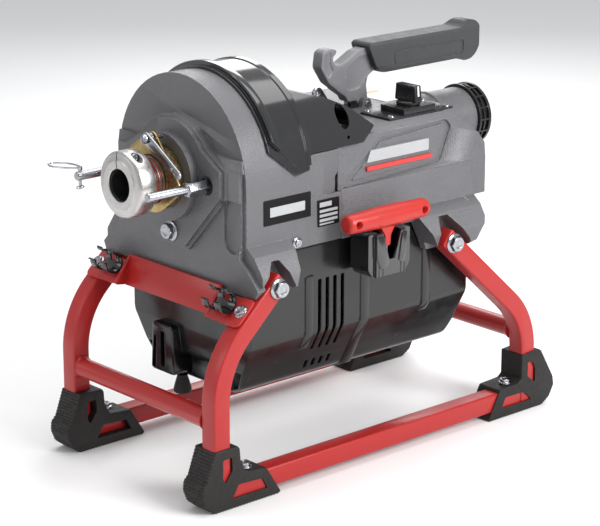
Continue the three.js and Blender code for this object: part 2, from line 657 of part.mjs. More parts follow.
place("motor_cover", motorCover(), "plastic", machine);

const bumper = turned([[0, 0], [10, 0], [12, 4], [7, 24], [0, 24]], 0, 0, 24)
  .rotate([90, 0, 0]).translate([-36, -187, 82.5]);
place("bumper", bumper, "rubber", machine);

// ---------- spindle and front fittings ----------
function spindleSolid() {
  const groove = (y) => [[NECK_R, y - 2], [NECK_R - 2.5, y - 1], [NECK_R - 2.5, y + 1], [NECK_R, y + 2]];
  const profile = [
    [BORE_R, SPINDLE_FRONT], [25, SPINDLE_FRONT], [25, COLLAR_BACK + GAP], [NECK_R, COLLAR_BACK + GAP],
    ...groove(-278), ...groove(-272), ...groove(-266), [NECK_R, -229], [BEARING_SEAT_R, -229],
    [BEARING_SEAT_R, -206], [SPINDLE_R, -204], [SPINDLE_R, SPINDLE_REAR], [BORE_R, SPINDLE_REAR],
  ];
  let body = turned(profile, 0, AXIS_Z, 28);
  for (let i = 0; i < 3; i++) {
    const slot = box(-6, 6, 59, 84, 10, 30).rotate([0, 120 * i, 0]).translate([0, 0, AXIS_Z]);
    body = cut(body, slot);
  }
  return body;
}
place("spindle", spindleSolid(), "steel", drive);

// The split collar: its slit and clamp screw lie near the top.
const SLIT_TURN = -8;
const SCREW_RADIUS = 33;
const SCREW_Y = -296;
const aboutAxis = (body, degrees) => body.rotate([0, degrees, 0]).translate([0, 0, AXIS_Z]);

function collarSolid() {
  const ring = turned([
    [BORE_R, COLLAR_FRONT + 1], [BORE_R + 1, COLLAR_FRONT], [31, COLLAR_FRONT], [34, COLLAR_FRONT + 1.5],
    [38, COLLAR_FRONT + 2], [COLLAR_R, COLLAR_FRONT + 6], [COLLAR_R, COLLAR_BACK - 1.5],
    [COLLAR_R - 1.5, COLLAR_BACK], [25 + GAP, COLLAR_BACK], [25 + GAP, SPINDLE_FRONT - GAP],
    [BORE_R, SPINDLE_FRONT - GAP],
  ], 0, 0, 48);
  const slit = box(-0.8, 0.8, COLLAR_FRONT - 2, COLLAR_BACK + 2, 15, COLLAR_R + 4);
  const pocket = barX(6, 14, 50, SCREW_Y, SCREW_RADIUS, 20);
  const thread = barX(3 + GAP, -14, 15, SCREW_Y, SCREW_RADIUS, 16);
  return aboutAxis(cut(ring, slit, pocket, thread), SLIT_TURN);
}
place("collar", collarSolid(), "aluminium", drive);

function collarScrew() {
  const head = barX(5, 14 + GAP, 21, SCREW_Y, SCREW_RADIUS, 20);
  const shank = barX(3, -13, 15, SCREW_Y, SCREW_RADIUS, 16);
  const socket = barX(2.6, 17, 25, SCREW_Y, SCREW_RADIUS, 6);
  return aboutAxis(cut(join(head, shank), socket), SLIT_TURN);
}
place("collar_screw", collarScrew(), "zinc", drive);

const LATCH = { x: 4, z: 440, y: -268, screwR: 3.3 };
const PLATE_Y = [-260.5, -257.3];

function latchPlate() {
  const outline = hullOf([
    ...circle(0, AXIS_Z, 42, 32), ...circle(LATCH.x, LATCH.z - 2, 10), ...circle(-32, 416, 10),
    ...circle(44, 384, 13),
  ]);
  const plate = alongY(outline, ...PLATE_Y);
  const neckHole = barY(NECK_R + RUN, -270, -250, 0, AXIS_Z, 40);
  const screwHole = barY(LATCH.screwR + 0.2, -270, -250, LATCH.x, LATCH.z, 16);
  return cut(plate, neckHole, screwHole);
}
place("latch_plate", latchPlate(), "yellowZinc", machine);

function latchLink() {
  const end = [64, 405];
  const outline = hullOf([...circle(LATCH.x, LATCH.z, 8, 20), ...circle(...end, 6, 16)]);
  const arm = alongY(outline, LATCH.y - 2, LATCH.y + 1);
  const eye = barY(LATCH.screwR + GAP, -280, -260, LATCH.x, LATCH.z, 16);
  const slot = alongY(hullOf([...circle(54, 411, 2.2, 10), ...circle(62, 406.4, 2.2, 10)]), -280, -260);
  return cut(arm, eye, slot);
}
place("latch_link", latchLink(), "zinc", machine);

// A small coil round the screw, between the link and the plate, pulls the link back up.
function coilSpring() {
  const turns = 2.2;
  const radius = 6;
  const rise = 3.6;
  const points = Array.from({ length: 45 }, (_, i) => {
    const t = i / 44;
    const a = t * turns * 2 * Math.PI;
    const y = LATCH.y + 2.4 + t * rise;
    return new THREE.Vector3(LATCH.x + radius * Math.cos(a), y, LATCH.z + radius * Math.sin(a));
  });
  const wire = new THREE.Shape(circle(0, 0, 0.7, 5).map(([x, y]) => V2(x, y)));
  return solid(new THREE.ExtrudeGeometry(wire, {
    steps: 40, bevelEnabled: false, extrudePath: new THREE.CatmullRomCurve3(points),
  }));
}
place("latch_spring", coilSpring(), "steel", machine);

function latchScrew() {
  const shank = barY(LATCH.screwR, -271, -245, LATCH.x, LATCH.z, 16);
  const head = barY(6, -276, -270.5, LATCH.x, LATCH.z, 20);
  const slot = box(LATCH.x - 7, LATCH.x + 7, -280, -274.5, LATCH.z - 1, LATCH.z + 1);
  return cut(join(shank, head), slot);
}
place("latch_screw", latchScrew(), "zinc", machine);

function postSolid(x) {
  const base = barY(9.8, -261, BOSS_Y - GAP, x, AXIS_Z, 6);
  const thread = barY(POST_THREAD_R, BOSS_Y - 1, -214, x, AXIS_Z, 16);
  const profile = [[0, -322], [POST_R - 1, -322], [POST_R, -320.5], [POST_R, -260], [0, -260]];
  const rod = turned(profile, x, AXIS_Z, 24);
  return cut(join(base, thread, rod), barZ(2.2, 370, 400, x, PIN_Y, 12));
}
place("post_left", postSolid(POST_X), "zinc", machine);
place("post_right", postSolid(-POST_X), "zinc", machine);

// The hitch pin drops through the post and carries a long wire loop.
function hitchPin() {
  const x = -POST_X;
  const pin = barZ(2, 371, 400, x, PIN_Y, 14);
  const head = barZ(3.4, 394, 399, x, PIN_Y, 16);
  const loop = new THREE.CatmullRomCurve3([
    [0, 0], [-14, -12], [-34, -18], [-50, -12], [-52, -2], [-36, 6], [-14, 6],
  ].map(([dx, dy]) => new THREE.Vector3(x + dx, PIN_Y + dy, 397.5 + dx * 0.06)), true);
  const wire = new THREE.TubeGeometry(loop, 32, 1.3, 5, true);
  return join(pin, head, solid(wire));
}
place("hitch_pin", hitchPin(), "zinc", machine);

const bossBolt = join(
  barY(BOSS_BOLT.r, BOSS_Y - 1, -213.5, 0, BOSS_BOLT.z, 16),
  barY(14, BOSS_Y - 2.8, BOSS_Y - GAP, 0, BOSS_BOLT.z, 28),
  barY(11, BOSS_Y - 10, BOSS_Y - 2.7, 0, BOSS_BOLT.z, 6),
);
place("boss_bolt", bossBolt, "zinc", machine);

// ---------- drive ----------
place("bearing_front", ringY(BEARING_R, BEARING_SEAT_R + GAP, -227.7, -210), "steel", drive);
const rearBearing = ringY(REAR_BEARING_R, SPINDLE_R + GAP, REAR_BEARING_Y, REAR_BEARING_Y + 10);
place("bearing_rear", rearBearing, "steel", drive);
const spindlePulley = ringY(SPINDLE_PULLEY_R, SPINDLE_R + GAP, BELT_FRONT, BELT_FRONT + BELT_WIDTH);
place("spindle_pulley", spindlePulley, "steel", drive);

function beltSolid() {
  const around = (grow) => hullOf([
    ...circle(0, AXIS_Z, SPINDLE_PULLEY_R + grow, 32),
    ...circle(0, MOTOR_Z, MOTOR_PULLEY_R + grow, 20),
  ]);
  const y = [BELT_FRONT + 1, BELT_FRONT + BELT_WIDTH - 1];
  return cut(alongY(around(GAP + BELT), ...y), alongY(around(GAP), y[0] - 1, y[1] + 1));
}
place("belt", beltSolid(), "rubber", drive);

function motorCan() {
  const can = turned([
    [9, -100], [MOTOR_R, -100], [MOTOR_R, 104], [9, 104], [9, 98],
    [ROTOR_R + RUN, 98], [ROTOR_R + RUN, -94], [9, -94],
  ], 0, MOTOR_Z, 24);
  const hanger = [[0, 296], [112, 296], [112, 270], [60, 200], [30, 170], [0, 160]];
  const flange = alongY(bothSides(hanger), -99, -93);
  return join(can, flange.subtract(barY(50, -101, -90, 0, MOTOR_Z, 24)));
}
place("motor_can", motorCan(), "steel", drive);

function motorRotor() {
  return turned([
    [0, BELT_FRONT - 2], [MOTOR_PULLEY_R, BELT_FRONT - 2], [MOTOR_PULLEY_R, BELT_FRONT + BELT_WIDTH],
    [8, BELT_FRONT + BELT_WIDTH + 2], [8, -88], [ROTOR_R, -88], [ROTOR_R, 92], [8, 92], [8, 110],
    [52, 112], [52, 124], [0, 124],
  ], 0, MOTOR_Z, 20);
}
place("motor_rotor", motorRotor(), "zinc", drive);

// ---------- clutch ----------
const CONE = { y0: LEVER_PIVOT.y - 12, y1: LEVER_PIVOT.y - 4, r0: 30, r1: SPINDLE_R + 0.5 };
const GROOVE = { r: 30, half: 4.6 };

function clutchSleeve() {
  const end = CONE.y0 + 25;
  const y = LEVER_PIVOT.y;
  return turned([
    [CONE.r0, CONE.y0], [SLEEVE_R, CONE.y0], [SLEEVE_R, y - GROOVE.half], [GROOVE.r, y - GROOVE.half],
    [GROOVE.r, y + GROOVE.half], [SLEEVE_R, y + GROOVE.half], [SLEEVE_R, end], [CONE.r1, end],
    [CONE.r1, CONE.y1],
  ], 0, AXIS_Z, 28);
}
place("clutch_sleeve", clutchSleeve(), "steel", drive);

for (let i = 0; i < 3; i++) {
  const top = CONE.r0 - 1.4;
  const jaw = alongX([
    [60, BORE_R + GAP], [60, top], [CONE.y0, top],
    [CONE.y1 - 1, CONE.r1 - 0.7], [CONE.y1 - 1, BORE_R + GAP],
  ], -5.5, 5.5);
  place("clutch_jaw_" + (i + 1), aboutAxis(jaw, 120 * i), "steel", drive);
}

// ---------- clutch lever ----------
const LEVER_OUTLINE = [
  [14, 489], [17, 509], [33, 513], [42, 510], [41, 505], [35, 502], [36, 494], [42, 489], [50, 490],
  [64, 497], [77, 504], [92, 507], [110, 503], [125, 502], [125, 483], [114, 478], [98, 469],
  [95, 458], [98, 438], [94, 429], [82, 428], [78, 438], [62, 438], [59, 445], [45, 454],
  [38, 460], [28, 467],
];

function leverSolid() {
  const h = LEVER_THICK / 2;
  const plate = alongX(LEVER_OUTLINE, -h, h);
  const y = LEVER_PIVOT.y;
  const neck = box(-h, h, y - 5, y + 5, 421, 432);
  const inner = SLEEVE_R + RUN;
  const outer = inner + 4.5;
  const arch = [...arc(outer, -90, 90, 14), [outer, 380], [inner, 380]];
  const archIn = [...arc(inner, -90, 90, 14).reverse(), [-inner, 380], [-outer, 380]];
  const yoke = alongY([...arch, ...archIn], y - 4, y + 4);
  const pins = [1, -1].map((s) => {
    const x = [s * (GROOVE.r + 1.5), s * (inner + 2)].sort((p, q) => p - q);
    return barX(3.4, ...x, y, AXIS_Z, 16);
  });
  const pocket = alongX([[66, 446], [84, 452], [88, 444], [80, 442]], h - 3, h + 1);
  const hole = barX(LEVER_PIN_R + FIT, -20, 20, y, LEVER_PIVOT.z, 20);
  return cut(join(plate, neck, yoke, ...pins), pocket, hole);
}
place("clutch_lever", leverSolid(), "castGrey", controls);

place("lever_pin", barX(LEVER_PIN_R, -20, 20, LEVER_PIVOT.y, LEVER_PIVOT.z, 20), "zinc", controls);

// The rubber grip is a long rounded bar with a flared end and a shallow panel on each side.
function gripSolid() {
  const side = [
    [91, 510], [96, 514], [262, 514], [274, 521], [294, 521], [299, 515], [299, 486], [288, 468],
    [274, 467], [262, 472], [124, 471], [112, 473], [104, 482],
  ];
  const w = 18;
  const section = bothSides([[0, 524], [11, 524], [w, 514], [w, 476], [11, 465], [0, 465]]);
  const body = alongX(side, -w, w).intersect(alongY(section, 80, 310));
  const panel = [[132, 499], [264, 497], [264, 480], [132, 479]];
  const half = LEVER_THICK / 2 + GAP;
  const socket = box(-half, half, 80, 126, 475, 508);
  return cut(body, alongX(panel, w - 1.2, w + 2), alongX(panel, -w - 2, -w + 1.2), socket);
}
place("grip", gripSolid(), "grip", controls);

function leverLink() {
  const outline = hullOf([...circle(26, 452, 8, 18), ...circle(40, 438, 5, 14)]);
  const plate = alongX(outline, -LEVER_THICK / 2 - 5, -LEVER_THICK / 2 - GAP);
  const eye = barX(3.5, -20, 0, 26, 452, 16);
  return cut(plate, eye);
}
place("lever_link", leverLink(), "zinc", controls);

// ---------- switch ----------
function switchPlate() {
  const plate = box(44, 101, 50, 166, ROOF_Z + GAP, ROOF_Z + 3);
  const raised = box(54, 99, KNOB.y - 29, KNOB.y + 29, ROOF_Z + 2, ROOF_Z + 11);
  const screws = [[50, 58], [95, 58], [50, 158], [95, 158]];
  return join(plate, raised, ...screws.map(([x, y]) => barZ(4, ROOF_Z + 2, ROOF_Z + 5.5, x, y, 14)));
}
place("switch_plate", switchPlate(), "black", controls);

function knobSolid() {
  const z = ROOF_Z + 11 + GAP;
  const disc = barZ(16, z, z + 5, KNOB.x, KNOB.y, 28);
  const bar = [[-20, 4], [20, 4], [17, 26], [-18, 26]].map(([dx, dz]) => [KNOB.x + dx, z + dz]);
  return join(disc, alongY(bar, KNOB.y - 6, KNOB.y + 6));
}
place("switch_knob", knobSolid(), "black", controls);

// ---------- rear guide ----------
const guide = turned([
  [34, 126], [GUIDE_R, 126], [GUIDE_R, 213], [GUIDE_R + 2, 213], [GUIDE_R + 2, 219], [GUIDE_R, 219],
  [GUIDE_R, GUIDE_REAR], [34, GUIDE_REAR],
]);
place("guide_tube", guide, "castGrey", machine);

function guardRing() {
  const ring = turned([
    [36, GUIDE_REAR + GAP], [GUARD_R, GUIDE_REAR + GAP], [GUARD_R, 281], [GUARD_R - 3, 281],
    [GUARD_R - 3, 295], [GUARD_R, 295], [GUARD_R, 300], [36, 300],
  ]);
  const ribs = Array.from({ length: 12 }, (_, i) =>
    aboutAxis(box(-1.5, 1.5, 280, 296, GUARD_R - 5, GUARD_R - 0.5), 30 * i));
  return join(ring, ...ribs);
}
place("guard_ring", guardRing(), "black", machine);

// ---------- tool and holder ----------
const HOLDER = { x0: 127, x1: 166, y0: -44, y1: 28, z0: 251, z1: 308 };

function toolHolder() {
  const h = HOLDER;
  const block = box(h.x0, h.x1, h.y0, h.y1, h.z0, h.z1);
  const pocket = box(141, 162, TOOL.y - 19, TOOL.y + 19, h.z0 + 4, h.z1 + 5);
  const notch = [[-15, h.z1 + 5], [-3, 272], [7, 272], [19, h.z1 + 5]];
  const vee = alongX(notch.map(([dy, z]) => [TOOL.y + dy, z]), 155, 175);
  return cut(block, pocket, vee, wingClear());
}

// The holder's back is cut away where the body's side leans out.
function wingClear() {
  return alongY([[100, 320], [127 + GAP, 320], [129.6, SKIRT_Z], [129.6, 240], [100, 240]], -80, 80);
}
place("tool_holder", toolHolder(), "plastic", machine);

function toolHandle() {
  const half = TOOL.length / 2;
  const r = TOOL.r;
  const bar = turned([
    [0, -half], [9, -half], [r - 1.5, -half + 5], [r, -30],
    [r, 30], [r - 1.5, half - 5], [9, half], [0, half],
  ], 0, 0, 28);
  const web = alongX([[-17, -8], [17, -8], [5, -24], [4, -38], [-4, -38], [-5, -24]], -4.5, 4.5);
  const eyes = [-half + 13, half - 13].map((y) => barX(3.5, -20, 20, y, 0, 14));
  const stemHole = barZ(3.2, -60, -20, 0, 0, 6);
  return cut(join(bar, web), ...eyes, stemHole).translate([TOOL.x, TOOL.y, TOOL.z]);
}
place("tool_handle", toolHandle(), "handleRed", controls);

const toolStem = barZ(2.9, -66, -20.5, 0, 0, 6).translate([TOOL.x, TOOL.y, TOOL.z]);
place("tool_stem", toolStem, "steel", controls);

// ---------- origin ----------
// The model stands on z = 0 with its plan centred on the origin.
root.updateMatrixWorld(true);
const bounds = new THREE.Box3().setFromObject(root);
const planCentre = bounds.getCenter(new THREE.Vector3());
root.position.set(-planCentre.x, -planCentre.y, -bounds.min.z);
root.updateMatrixWorld(true);

export default root;
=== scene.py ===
import json
import math

import bpy
from bpy.props import FloatProperty, FloatVectorProperty, IntProperty, PointerProperty
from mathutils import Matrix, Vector

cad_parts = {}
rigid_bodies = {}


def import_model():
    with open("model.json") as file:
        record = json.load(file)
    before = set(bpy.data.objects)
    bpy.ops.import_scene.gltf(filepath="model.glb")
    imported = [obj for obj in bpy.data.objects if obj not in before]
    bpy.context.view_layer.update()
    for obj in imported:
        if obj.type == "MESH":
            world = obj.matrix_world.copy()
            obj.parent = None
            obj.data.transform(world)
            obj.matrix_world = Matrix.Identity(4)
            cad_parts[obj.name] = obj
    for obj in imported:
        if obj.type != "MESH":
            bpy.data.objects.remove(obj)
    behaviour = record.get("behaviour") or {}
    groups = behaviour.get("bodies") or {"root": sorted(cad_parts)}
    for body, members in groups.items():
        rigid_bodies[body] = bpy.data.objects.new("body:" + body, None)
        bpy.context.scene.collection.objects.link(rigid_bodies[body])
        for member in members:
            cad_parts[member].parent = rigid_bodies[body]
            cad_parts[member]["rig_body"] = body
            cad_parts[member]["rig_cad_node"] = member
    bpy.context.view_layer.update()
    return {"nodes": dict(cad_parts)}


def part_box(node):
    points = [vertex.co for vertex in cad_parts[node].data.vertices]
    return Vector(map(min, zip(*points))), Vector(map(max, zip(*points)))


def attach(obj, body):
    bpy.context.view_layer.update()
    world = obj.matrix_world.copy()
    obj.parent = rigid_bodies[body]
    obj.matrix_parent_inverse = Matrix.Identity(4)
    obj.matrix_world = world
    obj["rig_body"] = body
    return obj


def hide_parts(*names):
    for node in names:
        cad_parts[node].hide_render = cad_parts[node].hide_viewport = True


bl_info = {
    "name": "Drain machine looks",
    "version": (1, 0, 0),
    "blender": (4, 5, 0),
    "location": "View3D > Sidebar > Drain machine",
    "description": "Builds the visible pieces, finishes and stage of a floor-standing drain machine",
    "category": "Object",
}

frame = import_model()
MM = 0.001

# The machine's own middle plane and the spindle's rear end fix where its millimetres are counted from.
SPINDLE_LOW, SPINDLE_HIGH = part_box("spindle")
ORIGIN = Vector(((SPINDLE_LOW.x + SPINDLE_HIGH.x) / 2, SPINDLE_HIGH.y - 118 * MM, 0))
SPINDLE_Z = (SPINDLE_LOW.z + SPINDLE_HIGH.z) / 2 / MM
DIRECTIONS = {"X": Vector((1, 0, 0)), "Y": Vector((0, 1, 0)), "Z": Vector((0, 0, 1))}

# Frame
TUBE = 25.4
FRAME_OUT = 156.0
FRAME_IN = FRAME_OUT - TUBE
RAIL_Z = 24.0
FRONT_LEG = {"y": -278.5, "corner": 183.0, "slope": 43.0, "radius": 115.0, "top": 276.5, "dir": 1}
REAR_LEG = {"y": 265.6, "corner": 131.5, "slope": 42.0, "radius": 101.0, "top": 276.5, "dir": -1}


# ---------------------------------------------------------------- modelling helpers
def at(x, y, z):
    """A point in millimetres from the machine's middle, as a place in the scene."""
    return Vector((x, y, z)) * MM + ORIGIN


def lift(axis, point, along):
    """A point of a flat outline, at a distance along the axis that the outline faces."""
    a, b = point
    return {"X": at(along, a, b), "Y": at(a, along, b), "Z": at(a, b, along)}[axis]


def deselect():
    if bpy.context.object and bpy.context.object.mode != "OBJECT":
        bpy.ops.object.mode_set(mode="OBJECT")
    bpy.ops.object.select_all(action="DESELECT")


def use(piece):
    deselect()
    piece.select_set(True)
    bpy.context.view_layer.objects.active = piece


def settle(piece):
    """Applies the object's place, turn and size, so that its place is in its mesh."""
    use(piece)
    bpy.ops.object.transform_apply(location=True, rotation=True, scale=True)
    return piece


def trace(points):
    """Draws a line from point to point and leaves it selected in edit mode."""
    deselect()
    bpy.ops.mesh.primitive_plane_add(size=0.01, location=points[0])
    bpy.ops.object.mode_set(mode="EDIT")
    bpy.ops.mesh.merge(type="CENTER")
    for a, b in zip(points, points[1:]):
        bpy.ops.mesh.extrude_vertices_move(TRANSFORM_OT_translate={"value": b - a})
    bpy.ops.mesh.select_all(action="SELECT")


def close_up():
    """Merges doubles, turns all faces outwards and leaves edit mode."""
    bpy.ops.mesh.select_all(action="SELECT")
    bpy.ops.mesh.remove_doubles(threshold=2e-6)
    bpy.ops.mesh.normals_make_consistent(inside=False)
    bpy.ops.object.mode_set(mode="OBJECT")
    return settle(bpy.context.object)


def prism(outline, axis, low, high):
    """An outline drawn and filled, then extruded along an axis."""
    trace([lift(axis, p, low) for p in outline])
    bpy.ops.mesh.edge_face_add()
    step = DIRECTIONS[axis] * (high - low) * MM
    bpy.ops.mesh.extrude_region_move(TRANSFORM_OT_translate={"value": step})
    return close_up()


def box(x0, x1, y0, y1, z0, z1):
    return prism([(x0, y0), (x1, y0), (x1, y1), (x0, y1)], "Z", z0, z1)


def turned(profile, axis, a, b, steps=64, closed=False):
    """A (radius, along) profile spun about the axis through (a, b), the two other coordinates."""
    place = {
        "X": lambda r, t: at(t, a, b + r),
        "Y": lambda r, t: at(a + r, t, b),
        "Z": lambda r, t: at(a + r, b, t),
    }[axis]
    trace([place(r, t) for r, t in profile])
    if closed:
        bpy.ops.mesh.edge_face_add()
        bpy.ops.mesh.delete(type="ONLY_FACE")
        bpy.ops.mesh.select_all(action="SELECT")
    centre = place(0, profile[0][1])
    local = centre - bpy.context.object.location
    bpy.ops.mesh.spin(steps=steps, angle=math.tau, center=centre, axis=DIRECTIONS[axis])
    return close_up()


def rod(axis, r, low, high, a, b, steps=32, edge=0.6):
    """A round bar with its end edges broken."""
    e = min(edge, r / 3)
    return turned([(0, low), (r - e, low), (r, low + e), (r, high - e), (r - e, high), (0, high)], axis, a, b, steps)


def wire(points, radius, closed=False, sides=3):
    """Round wire along a line of points in millimetres."""
    line = [at(*p) for p in points]
    trace(line + line[:1] if closed else line)
    bpy.ops.mesh.remove_doubles(threshold=2e-6)
    bpy.ops.object.mode_set(mode="OBJECT")
    piece = settle(bpy.context.object)
    bpy.ops.object.convert(target="CURVE")
    piece = bpy.context.object
    piece.data.bevel_depth = radius * MM
    piece.data.bevel_resolution = sides
    piece.data.use_fill_caps = True
    bpy.ops.object.convert(target="MESH")
    bpy.ops.object.mode_set(mode="EDIT")
    return close_up()


def apply_modifier(piece, kind, **settings):
    use(piece)
    modifier = piece.modifiers.new(kind.lower(), kind)
    for name, value in settings.items():
        setattr(modifier, name, value)
    bpy.ops.object.modifier_apply(modifier=modifier.name)
    return piece


def soften(piece, width, segments=2, angle=32, clamp=True):
    """Rounds every edge sharper than the angle."""
    return apply_modifier(
        piece, "BEVEL", width=width * MM, segments=segments, limit_method="ANGLE",
        angle_limit=math.radians(angle), use_clamp_overlap=clamp, miter_outer="MITER_ARC",
    )


def combine(piece, how, others):
    for other in others:
        apply_modifier(piece, "BOOLEAN", operation=how, object=other, solver="EXACT")
        bpy.data.meshes.remove(other.data)
    return piece


def carve(piece, *cutters):
    return combine(piece, "DIFFERENCE", cutters)


def fuse(piece, *others):
    return combine(piece, "UNION", others)


def clip(piece, *others):
    return combine(piece, "INTERSECT", others)


def gather(piece, *others):
    """Several closed shapes kept as one piece."""
    use(piece)
    for other in others:
        other.select_set(True)
    bpy.ops.object.join()
    return piece


def copy_of(piece):
    use(piece)
    bpy.ops.object.duplicate(linked=False)
    return bpy.context.object


def twin(piece):
    """A copy mirrored across the machine's middle plane."""
    other = copy_of(piece)
    other.scale.x = -1
    other.location.x = 2 * ORIGIN.x
    settle(other)
    bpy.ops.object.mode_set(mode="EDIT")
    return close_up()


def put(piece, place, facing):
    """Moves a piece made about the machine's zero, facing up, to its place and way round."""
    piece.rotation_mode = "QUATERNION"
    turn = Vector(facing).to_track_quat("Z", "Y")
    piece.rotation_quaternion = turn
    piece.location = at(*place) - turn @ ORIGIN
    settle(piece)
    piece.rotation_mode = "XYZ"
    return piece


def from_frame(node):
    """A merged and simplified copy of a CAD node, to be finished further."""
    piece = copy_of(frame["nodes"][node])
    piece.parent = None
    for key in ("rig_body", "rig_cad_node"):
        del piece[key]
    bpy.ops.object.mode_set(mode="EDIT")
    bpy.ops.mesh.select_all(action="SELECT")
    bpy.ops.mesh.remove_doubles(threshold=2e-6)
    bpy.ops.mesh.dissolve_limited(angle_limit=math.radians(0.4))
    bpy.ops.object.mode_set(mode="OBJECT")
    return piece


def finish(piece, name, material, body="machine", nodes=(), angle=32):
    """Names a piece, smooths it, dresses it and hangs it on its body."""
    settle(piece)
    bpy.ops.object.shade_smooth_by_angle(angle=math.radians(angle))
    piece.name = name
    piece.data.name = name
    piece.data.materials.clear()
    piece.data.materials.append(material)
    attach(piece, body)
    if nodes:
        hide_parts(*nodes)
    return piece


def circle(a, b, r, count=24):
    return [(a + r * math.cos(math.tau * i / count), b + r * math.sin(math.tau * i / count)) for i in range(count)]


def arc_points(a, b, r, start, end, count):
    """Points on an arc, its angles in degrees from the second axis."""
    turns = [math.radians(start + (end - start) * i / count) for i in range(count + 1)]
    return [(a + r * math.sin(t), b + r * math.cos(t)) for t in turns]


def rounded(corners, r, count=4):
    """A polygon with every corner rounded."""
    points = []
    for i, corner in enumerate(corners):
        here = Vector(corner)
        before = (Vector(corners[i - 1]) - here)
        after = (Vector(corners[(i + 1) % len(corners)]) - here)
        reach = min(r, before.length * 0.45, after.length * 0.45)
        a, b = here + before.normalized() * reach, here + after.normalized() * reach
        for k in range(count + 1):
            t = k / count
            p = a * (1 - t) ** 2 + here * (2 * t * (1 - t)) + b * t * t
            points.append((p.x, p.y))
    return points


def both_sides(half):
    """A half outline mirrored across its own upright line."""
    return list(half) + [(-x, z) for x, z in reversed(half) if abs(x) > 1e-6]


# ---------------------------------------------------------------- finishes
def node_of(tree, kind, **inputs):
    node = tree.nodes.new(kind)
    for name, value in inputs.items():
        node.inputs[name.replace("_", " ")].default_value = value
    return node


def noise(tree, where, size, detail=3.0, rough=0.55, stretch=None):
    """Noise whose cells are about the given size in millimetres."""
    source = where
    if stretch:
        mapping = node_of(tree, "ShaderNodeMapping")
        mapping.inputs["Scale"].default_value = stretch
        tree.links.new(where, mapping.inputs["Vector"])
        source = mapping.outputs["Vector"]
    node = node_of(tree, "ShaderNodeTexNoise", Scale=1 / (size * MM), Detail=detail, Roughness=rough)
    tree.links.new(source, node.inputs["Vector"])
    return node.outputs["Fac"]


def span(tree, value, low, high, from_low=0.3, from_high=0.7):
    node = node_of(tree, "ShaderNodeMapRange")
    node.inputs["From Min"].default_value = from_low
    node.inputs["From Max"].default_value = from_high
    node.inputs["To Min"].default_value = low
    node.inputs["To Max"].default_value = high
    tree.links.new(value, node.inputs["Value"])
    return node.outputs["Result"]


def blended(tree, amount, first, second):
    """Mixes two colours, each a plain colour or a socket."""
    node = tree.nodes.new("ShaderNodeMix")
    node.data_type = "RGBA"
    tree.links.new(amount, node.inputs["Factor"])
    for socket, value in ((node.inputs["A"], first), (node.inputs["B"], second)):
        if isinstance(value, bpy.types.NodeSocket):
            tree.links.new(value, socket)
        else:
            socket.default_value = (*value[:3], 1)
    return node.outputs["Result"]


def edge_amount(tree, radius, normal):
    """How much of the surface is a worn edge: where the rounded and the true normal part."""
    true = node_of(tree, "ShaderNodeNewGeometry")
    dot = node_of(tree, "ShaderNodeVectorMath")
    dot.operation = "DOT_PRODUCT"
    tree.links.new(normal, dot.inputs[0])
    tree.links.new(true.outputs["Normal"], dot.inputs[1])
    return span(tree, dot.outputs["Value"], 1, 0, 0.9, 0.995)


def shade(colour, factor):
    return tuple(min(1, c * factor) for c in colour[:3])


def make_finish(name, slot, colour, rough, metal=0.0, grain=(0.6, 0.1), mottle=(30, 0.9), vary=0.06,
                edge=0.5, wear=None, coat=0.0, level=0.5, rings=None, stretch=None):
    """A finish with fine grain in its bump, broad mottling in its colour, uneven gloss and worn edges.
    grain is (cell in mm, strength), mottle is (patch in mm, darkest share of the colour)."""
    material = bpy.data.materials.new(name)
    material["slot"] = slot
    material.use_nodes = True
    tree = material.node_tree
    shader = tree.nodes["Principled BSDF"]
    where = node_of(tree, "ShaderNodeTexCoord").outputs["Object"]
    shader.inputs["Metallic"].default_value = metal
    shader.inputs["Specular IOR Level"].default_value = level
    shader.inputs["Coat Weight"].default_value = coat
    shader.inputs["Coat Roughness"].default_value = 0.08
    fine = noise(tree, where, grain[0], 2.0, stretch=stretch)
    broad = noise(tree, where, mottle[0], 4.0)
    tint = blended(tree, span(tree, broad, 0, 1), shade(colour, mottle[1]), colour)
    tint = blended(tree, span(tree, fine, 0, 0.35), tint, shade(colour, 1.12 if metal < 0.5 else 0.9))
    rounder = node_of(tree, "ShaderNodeBevel", Radius=edge * MM)
    rounder.samples = 4
    normal = rounder.outputs["Normal"]
    if wear:
        at_edge = edge_amount(tree, edge, normal)
        scuffs = span(tree, noise(tree, where, 5, 6.0), 0, 1, 0.42, 0.62)
        both = node_of(tree, "ShaderNodeMath")
        both.operation = "MULTIPLY"
        tree.links.new(at_edge, both.inputs[0])
        tree.links.new(scuffs, both.inputs[1])
        tint = blended(tree, both.outputs["Value"], tint, wear)
    tree.links.new(tint, shader.inputs["Base Color"])
    uneven = noise(tree, where, mottle[0] * 0.4, 5.0)
    tree.links.new(span(tree, uneven, rough - vary, rough + vary), shader.inputs["Roughness"])
    height = fine
    if rings:
        height = turning_marks(tree, where, rings)
    bump = node_of(tree, "ShaderNodeBump", Strength=grain[1], Distance=grain[0] * MM * 0.5)
    tree.links.new(height, bump.inputs["Height"])
    tree.links.new(normal, bump.inputs["Normal"])
    tree.links.new(bump.outputs["Normal"], shader.inputs["Normal"])
    return material


